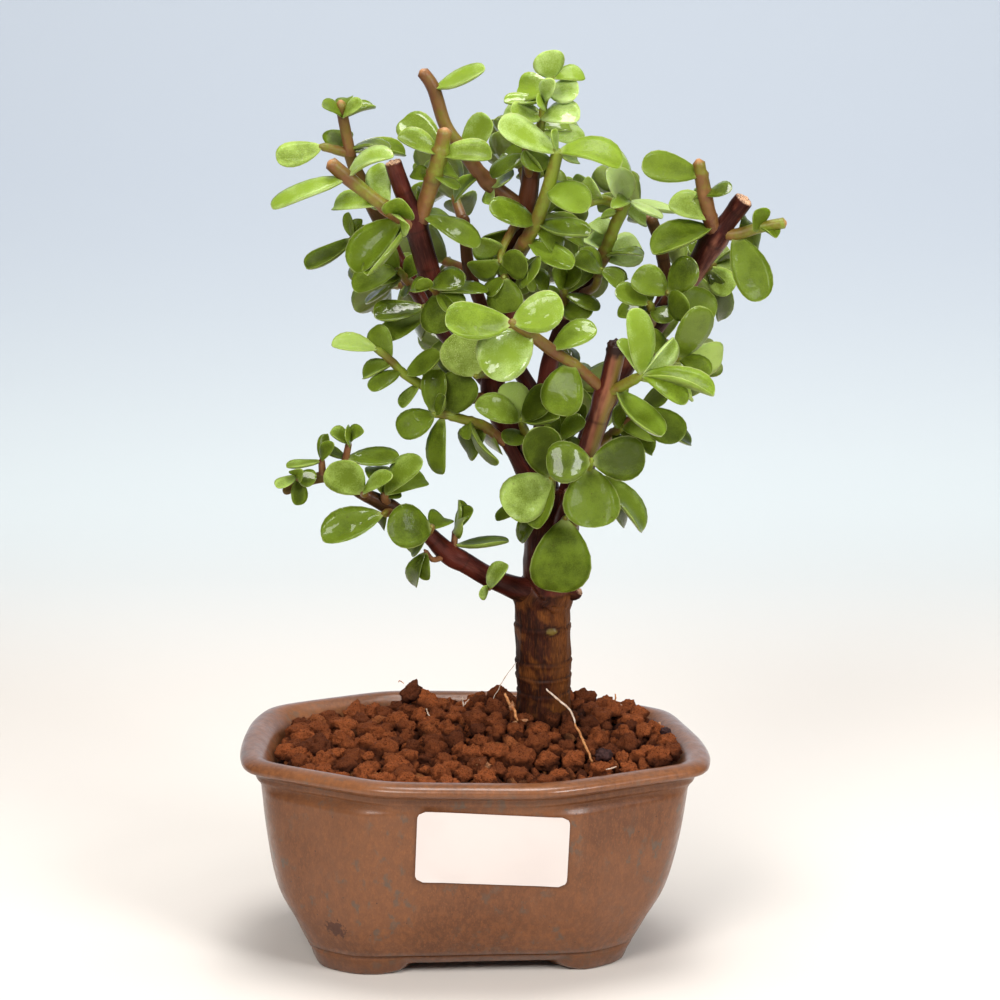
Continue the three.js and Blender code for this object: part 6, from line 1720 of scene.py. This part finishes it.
@dataclass
class Foliage:
    """All the leafy sprays, each in place of its solid."""

    rule: LeafRule = LEAF_RULE
    seed: int = 5
    blade: BladeShape = BladeShape()
    sides: Sequence[int] = (-1, 1)
    width_kept: float = 1.06
    ripe_run: float = 11  # how far from the wood a stem is still brown, in millimetres
    stubs: Sequence[str] = ("spray_tall_cut", "spray_left_fork", "spray_left_slant", "spray_far_left_cut",
                            "spray_right_up_cut", "spray_right_tip")
    # Stems that are redder or greener than the rule makes them.
    riper: dict[str, float] = field(default_factory=lambda: {
        "spray_tall_cut": 0.42, "spray_left_fork": -0.2, "spray_right_up_cut": 0.1,
        "spray_right_tip": -0.2, "spray_front_twig": 0.45, "spray_front_whorl": -0.1,
        "spray_left_slant": 0.15, "spray_branch_under": 0.6, "spray_branch_fan": 0.5,
        "spray_branch_cup": 0.6, "spray_branch_tip": 0.4, "spray_branch_base": 0.5})
    skin: StemFinish = StemFinish()

    def build(self) -> None:
        """Makes every spray."""
        blades = hidden_collection("blades", [self.blade.mesh(form, side) for side in self.sides
                                             for form in range(len(self.rule.forms))])
        tree = spray_tree()
        stem_skin = self.skin.material()
        skins = {True: YOUNG_SKIN.material(), False: LEAF_SKIN.material()}
        random, looks = Seeded(self.seed), Seeded(77)
        for spray, stems, leaves in self.sprays(random):
            mesh = self.bare(spray, stems, self.packed(spray.name, leaves), looks)
            piece = run_tree(spray.name, mesh, tree, {"Blades": blades, "Stem skin": stem_skin,
                                                     "Leaf skin": skins[spray.young]})
            dress(piece, Slot.YOUNG_LEAF if spray.young else Slot.LEAF, spray.name)
        drop_collection(blades)

    def sprays(self, random: Seeded) -> Iterator[tuple[Spray | RearSpray, Sequence[Stem], list[Leaf]]]:
        """Yields each spray with its stems and leaves."""
        for spray in SPRAYS:
            yield spray, spray.stems, [leaf for stem in spray.stems
                                       for leaf in self.rule.on_drawn(stem, random)]
        for spray in REAR_SPRAYS:
            middle = [mix(a, b, 0.5) for a, b in zip(spray.start, spray.end)]
            middle[1] += 1.5
            stem = Stem([(*spray.start, 3), (*middle, 2.4), (*spray.end, 1.8)], [])
            yield spray, [stem], list(self.rule.on_rear(spray, stem, random))

    def packed(self, name: str, leaves: Sequence[Leaf]) -> list[Leaf]:
        """Returns the leaves as their solids stand."""
        solid = frame["nodes"][name]
        tree = kdtree.KDTree(len(solid.data.vertices))
        for i, vertex in enumerate(solid.data.vertices):
            tree.insert(solid.matrix_world @ vertex.co, i)
        tree.balance()
        found = [self.rule.as_packed(leaf, tree) for leaf in leaves]
        kept = [leaf for leaf in found if leaf]
        log.info("%s: %d of %d leaves", name, len(kept), len(leaves))
        return kept

    def bare(self, spray: Spray | RearSpray, stems: Sequence[Stem], leaves: Sequence[Leaf],
             looks: Seeded) -> bpy.types.Mesh:
        """Makes the stem lines and leaf points that a spray grows from.

        Args:
            spray: the spray.
            stems: its stems.
            leaves: its leaves as they stand.
            looks: the draws for the leaves' tones.

        Returns:
            The mesh of lines and points, with what the tree and the finishes read as attributes.
        """
        empty = dict.fromkeys(("is_stem", "girth", "ripe", "cut", "knot", "form", "tone", "wet", "spot",
                               "grit"), 0.0) | {"up": (0, 0, 1), "ahead": (0, 1, 0), "size": (1, 1, 1)}
        points, edges = [], []
        values: dict[str, list] = {name: [] for name in empty}

        def add(point: Vector, given: dict[str, Value]) -> None:
            """Adds a point with its values."""
            points.append(to_frame(point))
            for name, value in (empty | given).items():
                values[name].append(value)

        shy = 0.6 if spray.young else 1
        for number, stem in enumerate(stems):
            route = [placed(x, z, depth) for x, z, depth, _ in stem.route]
            is_stub = spray.name in self.stubs and not number or not stem.leaves and len(stems) > 1
            joints = sorted({round(leaf[0], 1) for leaf in stem.leaves} or
                            ({0.35 + 1.65 * (k + 1) / 4 for k in range(4)} if len(route) == 3 else set()))
            ends = self.stem_ends(*self.jointed(route, [row[3] for row in stem.route], joints), is_stub)
            run = 0.0
            start = len(points)
            for i, (point, width, cut, knot) in enumerate(ends):
                run += (point - ends[i - 1][0]).length if i else 0
                ripe = math.exp(-run / self.ripe_run) * (0.7 if number else 0.9) + 0.3 * (width > 3.6)
                end = 0.35 * math.exp(-(point - ends[-1][0]).length / 3) if is_stub else 0
                ripe = min(max(ripe * shy + self.riper.get(spray.name, 0), 0), 0.9) + end
                add(point, {"is_stem": 1, "girth": width / 2 * MM, "ripe": ripe, "cut": cut, "knot": knot})
                if i:
                    edges.append((start + i - 1, start + i))
        for leaf in leaves:
            lighter, wet, spot, grit = (*leaf.look, *(0, None, 0, 0)[len(leaf.look):])
            # painted light and shade in the tone: higher leaves are lighter, partly their real younger
            # colour and partly painted light from above, and leaves deeper in the crown are darker as
            # painted shade
            tone = (0.42 if spray.young else 0.28) + 0.25 * (leaf.tip.z - 150) / 100
            tone += 0.34 * (looks.draw() - 0.5) + lighter - 0.22 * smooth(leaf.tip.y, 8, 34)
            form = leaf.form + len(self.rule.forms) * (looks.draw() < 0.5)
            if wet is None:
                wet = 0.9 * smooth(looks.draw(), 0.4, 0.9)
            size = (leaf.width * self.width_kept * MM, leaf.length * MM, (0.75 * leaf.length + 3.5) * MM)
            add(leaf.base, {"up": tuple(leaf.up), "ahead": tuple(leaf.along), "form": form, "tone": tone,
                            "wet": wet, "spot": spot, "grit": grit, "size": size})
        return new_mesh("spray", points, edges, [], values)

    @staticmethod
    def jointed(route: Sequence[Vector], widths: Sequence[float],
                joints: Sequence[float]) -> tuple[list[Vector], list[float]]:
        """Returns the route and widths with a ring-like joint at every place that bears leaves."""
        rows = [(float(i), point, width) for i, (point, width) in enumerate(zip(route, widths))]
        for place in joints:
            i = min(int(place), len(route) - 2)
            length = max((route[i + 1] - route[i]).length, 0.1)
            if not 0.9 / length < place - i < 1 - 0.9 / length:
                continue
            for shift, swell in ((-0.9, 1.03), (-0.15, 1.16), (0.08, 1.15), (0.4, 0.92)):
                share = place - i + shift / length
                width = mix(widths[i], widths[i + 1], share) * swell
                rows.append((i + share, route[i].lerp(route[i + 1], share), width))
        rows.sort(key=lambda row: row[0])
        return [row[1] for row in rows], [row[2] for row in rows]

    @staticmethod
    def stem_ends(route: Sequence[Vector], widths: Sequence[float],
                  is_stub: bool) -> list[tuple[Vector, float, float, float]]:
        """Returns the stem's points, widths, cut and knot values, with a blunt cut or a rounded tip."""
        rows = []
        for i, (point, width) in enumerate(zip(route, widths)):
            swollen = 0 < i < len(widths) - 1 and width > 1.09 * mix(widths[i - 1], widths[i + 1], 0.5)
            rows.append((point, width, 0.0, float(swollen)))
        ahead = (route[-1] - route[-2]).normalized()
        last, width = route[-1], widths[-1]
        if is_stub:
            width = mix(width, widths[-2], 0.6)
            rows[-1] = (last, width, 0.0, 0.0)
            ring = ((0.4, 1, 0.0, 0.6), (0.44, 0.95, 1.0, 0.0), (0.45, 0.3, 1.0, 0.0))
        else:
            ring = ((0.5, 0.8, 0.0, 0.0), (0.9, 0.4, 0.0, 0.0))
        return rows + [(last + ahead * run, width * share, cut, knot) for run, share, cut, knot in ring]


# ---------------------------------------------------------------- wood
@dataclass(frozen=True)
class LimbLook:
    """How one limb looks: its bark's age and ridges, its end, its green and pink shares, its stripe."""

    old: float = 0
    ridges: float = 0.05
    green: float = 0
    rust: float = 0.1
    cut: bool = False
    dead: float = 0
    ring_every: float = 11
    stripe: float = 0


@dataclass
class Wood:
    """The trunk with its limbs, stubs and bare twigs."""

    looks: dict[str, LimbLook] = field(default_factory=lambda: {
        "trunk": LimbLook(old=0.2, ridges=0.03), "trunk_knob": LimbLook(cut=True, dead=0.3),
        "left_limb": LimbLook(cut=True, rust=0.2), "right_limb": LimbLook(cut=True, rust=0.55),
        "front_limb": LimbLook(cut=True, dead=1, rust=0.9, stripe=0.75, ring_every=19.5),
        "small_stub": LimbLook(cut=True, dead=0.4), "back_left_limb": LimbLook(green=0.35),
        "back_right_limb": LimbLook(green=0.2), "far_back_limb": LimbLook(green=0.2),
        "low_branch": LimbLook(green=0.35), "leader": LimbLook(green=0.1)})
    # Rings on the trunk: height, and how far they dip at the front.
    scars: Sequence[tuple[float, float]] = ((97, 0.4), (88.2, 0.5), (78.4, 0.6), (74.4, 1), (70.2, 1.4))
    bud: Point = (20.3, 0, 87.2)
    finish: BarkFinish = BarkFinish()
    step: float = 0.45
    # Rings that close a cut end and a grown one: how far on, how wide, and whether they are cut.
    # A cut end's are in millimetres, and a grown one's in shares of its radius.
    cut_end: Sequence[Row] = ((0.25, 0.96, 0.4), (0.4, 0.8, 1), (0.42, 0.5, 1), (0.3, 0.22, 1))
    grown_end: Sequence[Row] = ((0.35, 0.88, 0), (0.7, 0.6, 0), (0.85, 0.3, 0))

    def build(self) -> None:
        """Makes all the wood as one piece."""
        whole = Skin()
        for number, limb in enumerate(LIMBS):
            whole.add(self.limb(limb, self.looks.get(limb.name, LimbLook()), number))
        whole.piece("wood_bark", self.finish.material(), Slot.WOOD, "wood")

    def rings(self, fine: np.ndarray, look: LimbLook) -> list[tuple[Vector, Vector, float, float, float]]:
        """Returns a limb's rings: middle, direction, radius, way from its start and share of cut."""
        centres = [Vector(row[:3]) for row in fine]
        run, rows = 0.0, []
        for i, centre in enumerate(centres):
            ahead = (centres[min(i + 1, len(centres) - 1)] - centres[max(i - 1, 0)]).normalized()
            run += (centre - centres[i - 1]).length if i else 0
            rows.append((centre, ahead, fine[i][3] / 2, run, 0))
        centre, ahead, radius, run, _ = rows[-1]
        unit, ends = (1, self.cut_end) if look.cut else (radius, self.grown_end)
        return rows + [(centre + ahead * (unit * on), ahead, radius * share, run + unit * on, cut)
                       for on, share, cut in ends]

    def trunk_marks(self, point: Vector, angle: float, straight: Vector, fibre: float, front: bool,
                    scar: float, lip: float) -> tuple[float, float, float]:
        """Works the trunk's rings and bud into a point of its skin.

        Args:
            point, angle, straight: where the point lies, round the trunk and on the unrolled bark.
            fibre: the bark's fibre there.
            front: whether the point looks to the front.
            scar, lip: how scarred and how raised the point is so far.

        Returns:
            The scar, the lip and the distance from the bud.
        """
        for height, dip in self.scars:
            d = point.z - height + dip * (0.5 - 0.5 * math.sin(angle)) + 0.35 * noise.noise(straight * 0.35)
            scar = max(scar, bell(d, 0.32) * (0.75 + 0.5 * fibre))
            lip += 0.035 * bell(d + 0.7, 0.55) - 0.03 * bell(d, 0.35)
        if not front:
            return scar, lip, 9
        near = point - Vector(self.bud)
        d = math.hypot(near.x / 1.8, near.z / 1.25)
        lip += 0.07 * (1 - smooth(d, 0.55, 1.05)) + 0.03 * bell(d - 1.5, 0.25)
        return max(scar, bell(d - 1.1, 0.2)), lip, d

    def limb(self, limb: Limb, look: LimbLook, number: int) -> Skin:
        """Returns one limb's closed skin."""
        route = np.array([[*placed(x, z, depth), width] for x, z, depth, width in limb.route])
        lengths = np.linalg.norm(np.diff(route[:, :3], axis=0), axis=1)
        fine = curve_through(route, [max(2, round(length / self.step)) for length in lengths])
        is_trunk = limb.name == "trunk"
        around = 96 if is_trunk else max(16, round(float(route[:, 3].max()) * 3.6))
        names = ("straight", "old", "cut", "dead", "scar", "green", "rust")
        skin = Skin(values={name: [] for name in names})
        side, shift, total = Vector((1, 0, 0.01)), Vector((0, 0, 31.7 * number)), float(lengths.sum())
        rows = self.rings(fine, look)
        for centre, ahead, radius, run, cut in rows:
            side, other = across_run(side, ahead)
            since = run % look.ring_every
            ring = 0.5 * bell(since - 4, 0.4) * (run > 6 and not is_trunk)
            step = 0.9 * smooth(since, 4.1, 4.6) * (1 - smooth(since, 4.6, 9))
            green = look.green * smooth(run / total, 0.5, 1)
            rust = look.rust * (0.6 if is_trunk else smooth(run / total, 0.2, 0.7))
            for angle in angles(around):
                c, s = math.cos(angle), math.sin(angle)
                x, y = c * radius, s * radius
                straight = Vector((x, y, run)) + shift
                ridge, dent, fibre = (noise.noise(Vector((x * wide, y * wide, run * tall)) + shift)
                                      for wide, tall in ((0.5, 0.09), (0.3, 0.16), (2.2, 0.35)))
                grown = 1 + look.ridges * (ridge * 1.1 + dent * 1.6) + 0.012 * fibre
                rough = 0.5 * noise.noise(straight * 1.1) * cut * (1 + 1.6 * look.dead)
                point = centre + (side * c + other * s) * radius * grown
                charred = (1 - smooth(total - run + 1.6 * fibre, 1.2, 3)) if look.dead == 1 else cut
                lip = step * 0.03 * (look.old < 0.1)
                lip += 0.16 * noise.noise(straight * 0.9) * charred * look.dead
                aside = (point.x - centre.x) / radius
                striped = look.stripe * smooth(aside, -0.05, 0.3) * (1 - smooth(aside, 0.7, 0.9))
                blush = rust * (smooth(aside, -0.75, -0.35) if look.stripe else 1)
                scar, lip, away = self.trunk_marks(point, angle, straight, fibre, point.y < centre.y, ring,
                                                   lip) if is_trunk else (ring, lip, 9)
                skin.points.append(centre + (point - centre) * (1 + lip) + ahead * rough)
                aged = look.old + (1 - look.old) * (1 - smooth(point.z, 96.6, 97.6))
                bud = 1 - smooth(away, 0.7, 1)
                for name, value in zip(names, (tuple(straight), max(aged - bud, 0), max(cut, charred),
                                               look.dead, min(max(scar, 0), 1),
                                               max(green, 0.55 * bud, striped), blush)):
                    skin.values[name].append(value)
        skin.tube(len(rows), around)
        return skin


@dataclass(frozen=True)
class Strand:
    """A dry root on the soil: its points in millimetres, its width and whether it is whitish."""

    width: float
    pale: bool
    route: Sequence[Point]


@dataclass
class Debris:
    """Rootlets on the soil, a dark chunk of bark, and a few pale grains and flakes."""

    strands: Sequence[Strand] = (
        Strand(0.6, True, ((18.9, -4, 72.6), (22, -6, 70.2), (25.3, -8, 67.8), (26.6, -12, 65.1))),
        Strand(0.75, False, ((26.5, -11.8, 65.2), (28.3, -16, 62.4), (29.7, -20.5, 60.3),
                             (31, -24.5, 58.2))),
        Strand(0.9, False, ((7.7, 2, 69.6), (8.5, 1, 67.9), (9.9, 0, 66.1), (11.2, -2.5, 63.2))),
        Strand(0.22, True, ((10.9, 6, 77.2), (8.6, 7, 74), (6.4, 8, 70), (4.5, 9, 66))),
        Strand(0.5, False, ((38.2, 18, 64.9), (38.4, 18, 63.2), (38.4, 18, 59.5))),
        Strand(0.4, True, ((38.4, 18, 61.6), (39.3, 17.5, 62), (40.2, 17, 62))),
        Strand(0.4, True, ((-4.2, 20, 63.4), (-3.9, 20, 62), (-3.6, 19.5, 60.4))),
        Strand(0.32, True, ((-2.2, 20, 62.8), (-3, 20, 61.9), (-3.6, 19.8, 61))),
        Strand(0.35, True, ((-14, 14, 61.8), (-13.4, 13.5, 60.6), (-12.6, 12.5, 59))),
        Strand(0.4, True, ((34.4, -31, 58.2), (35.7, -31.4, 58.6), (37.1, -31, 59))),
        Strand(0.3, False, ((-21.9, 26, 66), (-21.4, 26, 66.4), (-20.4, 26, 65.6))),
    )
    # Chips: x, y, z, then length, width and thickness, turn and lean, and whether it is dark.
    chips: Sequence[Row] = (
        (34, -24.5, 60.2, 4.6, 3.6, 5.4, 0.4, 0.2, 1), (51.2, -3, 60.3, 3.6, 3, 3, 1, 0.1, 1),
        (49, 5, 59.4, 4, 3, 2.4, 1.1, 0.3, 0), (2.2, -26, 58, 4.2, 3.4, 2.6, 0.3, 0.4, 0),
        (13, -3.2, 63.6, 2, 1.4, 1, 0.2, 0.1, 0), (10.4, -4, 63.2, 2.4, 1.8, 0.7, 1.9, 0.3, 0),
        (9.7, 0, 66.7, 1.7, 0.5, 2.6, 0.5, 0.3, 0), (25, -4.6, 62.6, 2.2, 1.2, 0.8, 0.7, 0.4, 0))
    golden: PlainFinish = PlainFinish("dry_rootlet", colour(206, 146, 94), colour(170, 104, 60))
    whitish: PlainFinish = PlainFinish("pale_rootlet", colour(226, 210, 194), colour(206, 170, 140))
    beige: PlainFinish = PlainFinish("pale_grain", colour(188, 138, 100), colour(150, 96, 62), 0.8, 0.7)
    dark: PlainFinish = PlainFinish("bark_chunk", colour(66, 40, 38), colour(36, 21, 20), 0.7, 0.8)

    def build(self) -> None:
        """Makes the strands and the chips, one piece for each finish."""
        for pale, name, finish in ((True, "rootlets_pale", self.whitish),
                                   (False, "rootlets_golden", self.golden)):
            whole = Skin()
            for number, strand in enumerate(self.strands):
                if strand.pale == pale:
                    whole.add(self.strand(strand, number))
            whole.piece(name, finish.material(), Slot.WOOD)
        for dark, name, finish in ((0, "pale_grains", self.beige), (1, "bark_chunks", self.dark)):
            whole = Skin()
            for number, (x, y, z, length, width, thick, turn, lean, kind) in enumerate(self.chips):
                if kind == dark:
                    skin = lump(3, 410 + number, 1, 0.55)
                    matrix = Matrix.Rotation(turn, 4, "Z") @ Matrix.Rotation(lean, 4, "Y")
                    skin.points = [matrix @ Vector((p.x * length, p.y * width, p.z * thick))
                                   + Vector((x, y, z)) for p in skin.points]
                    whole.add(skin)
            whole.piece(name, finish.material(), Slot.SOIL)

    def strand(self, strand: Strand, number: int) -> Skin:
        """Returns one strand as a thin closed tube that tapers and wavers."""
        skin = Skin()
        fine = curve_through(np.array(strand.route, float), [8] * (len(strand.route) - 1))
        side, around = Vector((0.3, 1, 0.2)), 7
        for i, row in enumerate(fine):
            ahead = Vector(fine[min(i + 1, len(fine) - 1)] - fine[max(i - 1, 0)]).normalized()
            side, other = across_run(side, ahead)
            uneven = 1 + 0.35 * noise.noise(Vector((i * 0.5, number, 3)))
            radius = strand.width / 2 * mix(0.7, 1, math.sin(math.pi * i / (len(fine) - 1))) * uneven
            waver = Vector((*(noise.noise(Vector((i * 0.3, number, seed))) for seed in (7, 9)), 0))
            for angle in angles(around):
                skin.points.append(Vector(row) + waver * 0.3
                                   + (side * math.cos(angle) + other * math.sin(angle)) * radius)
        skin.tube(len(fine), around)
        return skin


# ---------------------------------------------------------------- studio
@dataclass(frozen=True)
class Lamp:
    """A soft square lamp: where it stands, its side in metres, its power and colour."""

    name: str
    place: Point
    size: float
    power: float
    colour: Point


@dataclass
class Studio:
    """A plain pale floor that sweeps up behind, soft lamps and a camera."""

    lamps: Sequence[Lamp] = (
        Lamp("key", (-0.42, -0.95, 0.8), 0.5, 11.0, (1.0, 0.98, 0.95)),
        Lamp("right", (0.72, -0.8, 0.7), 0.4, 9.5, (0.98, 0.99, 1.0)),
        Lamp("top", (0.05, 0.05, 1.1), 0.5, 11.0, (1.0, 0.99, 0.98)),
    )
    aim: Vector = field(default_factory=lambda: to_frame(Vector((6.4, 0, 124))))
    eye: Vector = field(default_factory=lambda: to_frame(Vector((6.4, -974.4, 349))))
    pitch: float = math.radians(77)
    lens: float = 134.3
    sensor: float = 36
    # The floor runs from front to back, turns up by a wide curve and ends at its height, in metres.
    front: float = -3.6
    back: float = 0.9
    turn: float = 0.5
    high: float = 1.6
    half: float = 3.6
    # Its colour near the plant, behind it and up the wall, and where each passes into the next.
    low: Point = colour(220, 213, 205)
    pale: Point = colour(212, 219, 220)
    sky: Point = colour(187, 195, 205)
    to_pale: tuple[float, float] = (200, 520)
    to_sky: tuple[float, float] = (470, 730)
    strength: float = 0.2

    def build(self) -> None:
        """Makes the floor, the lamps, the world light and the camera."""
        self.build_floor()
        scene = bpy.context.scene
        for lamp in self.lamps:
            light = bpy.data.lights.new(lamp.name, "AREA")
            light.size, light.energy, light.color = lamp.size, lamp.power, lamp.colour
            holder = bpy.data.objects.new(lamp.name, light)
            holder.location = lamp.place
            holder.rotation_euler = (self.aim - holder.location).to_track_quat("-Z", "Y").to_euler()
            scene.collection.objects.link(holder)
        scene.world = bpy.data.worlds.new("soft_room")
        scene.world.use_nodes = True
        background = scene.world.node_tree.nodes["Background"].inputs
        background["Color"].default_value = (*self.sky, 1)
        background["Strength"].default_value = self.strength
        camera = bpy.data.cameras.new("camera")
        camera.lens, camera.sensor_width = self.lens, self.sensor
        holder = bpy.data.objects.new("camera", camera)
        holder.location = self.eye
        holder.rotation_euler = (self.pitch, 0, 0)
        scene.collection.objects.link(holder)
        bpy.context.scene.camera = holder
        scene.view_settings.view_transform = "Standard"

    def build_floor(self) -> None:
        """Makes a floor that turns up into a wall in a wide curve."""
        start = self.back - self.turn
        profile = [(self.front, 0), (start, 0)]
        profile += [(start + self.turn * math.sin(a), self.turn - self.turn * math.cos(a))
                    for a in np.linspace(0.1, math.pi / 2, 16)]
        profile.append((self.back, self.high))
        points = [(x, y, z) for y, z in profile for x in (-self.half, self.half)]
        faces = [(2 * i, 2 * i + 1, 2 * i + 3, 2 * i + 2) for i in range(len(profile) - 1)]
        tree = Paint("studio_paper")
        away = tree.node("SeparateXYZ", {"Vector": tree.place()}).outputs["Y"]
        base = tree.blend(self.low, (tree.ramp(away, *self.to_pale), self.pale),
                          (tree.ramp(away, *self.to_sky), self.sky))
        floor = new_object("floor", new_mesh("floor", points, [], faces, {}), tree.finish(base, 0.9, 0.5))
        floor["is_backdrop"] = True


def main() -> None:
    """Builds the bonsai, its pot and the studio."""
    logging.basicConfig(level=logging.INFO, format="%(message)s")
    pot = Pot()
    for part in (pot, Soil(pot), Label(pot), Wood(), Foliage(), Debris(), Studio()):
        part.build()
    [[list(corner) for corner in box] for box in (CAD_BOX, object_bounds())]


if __name__ == "__main__":
    main()
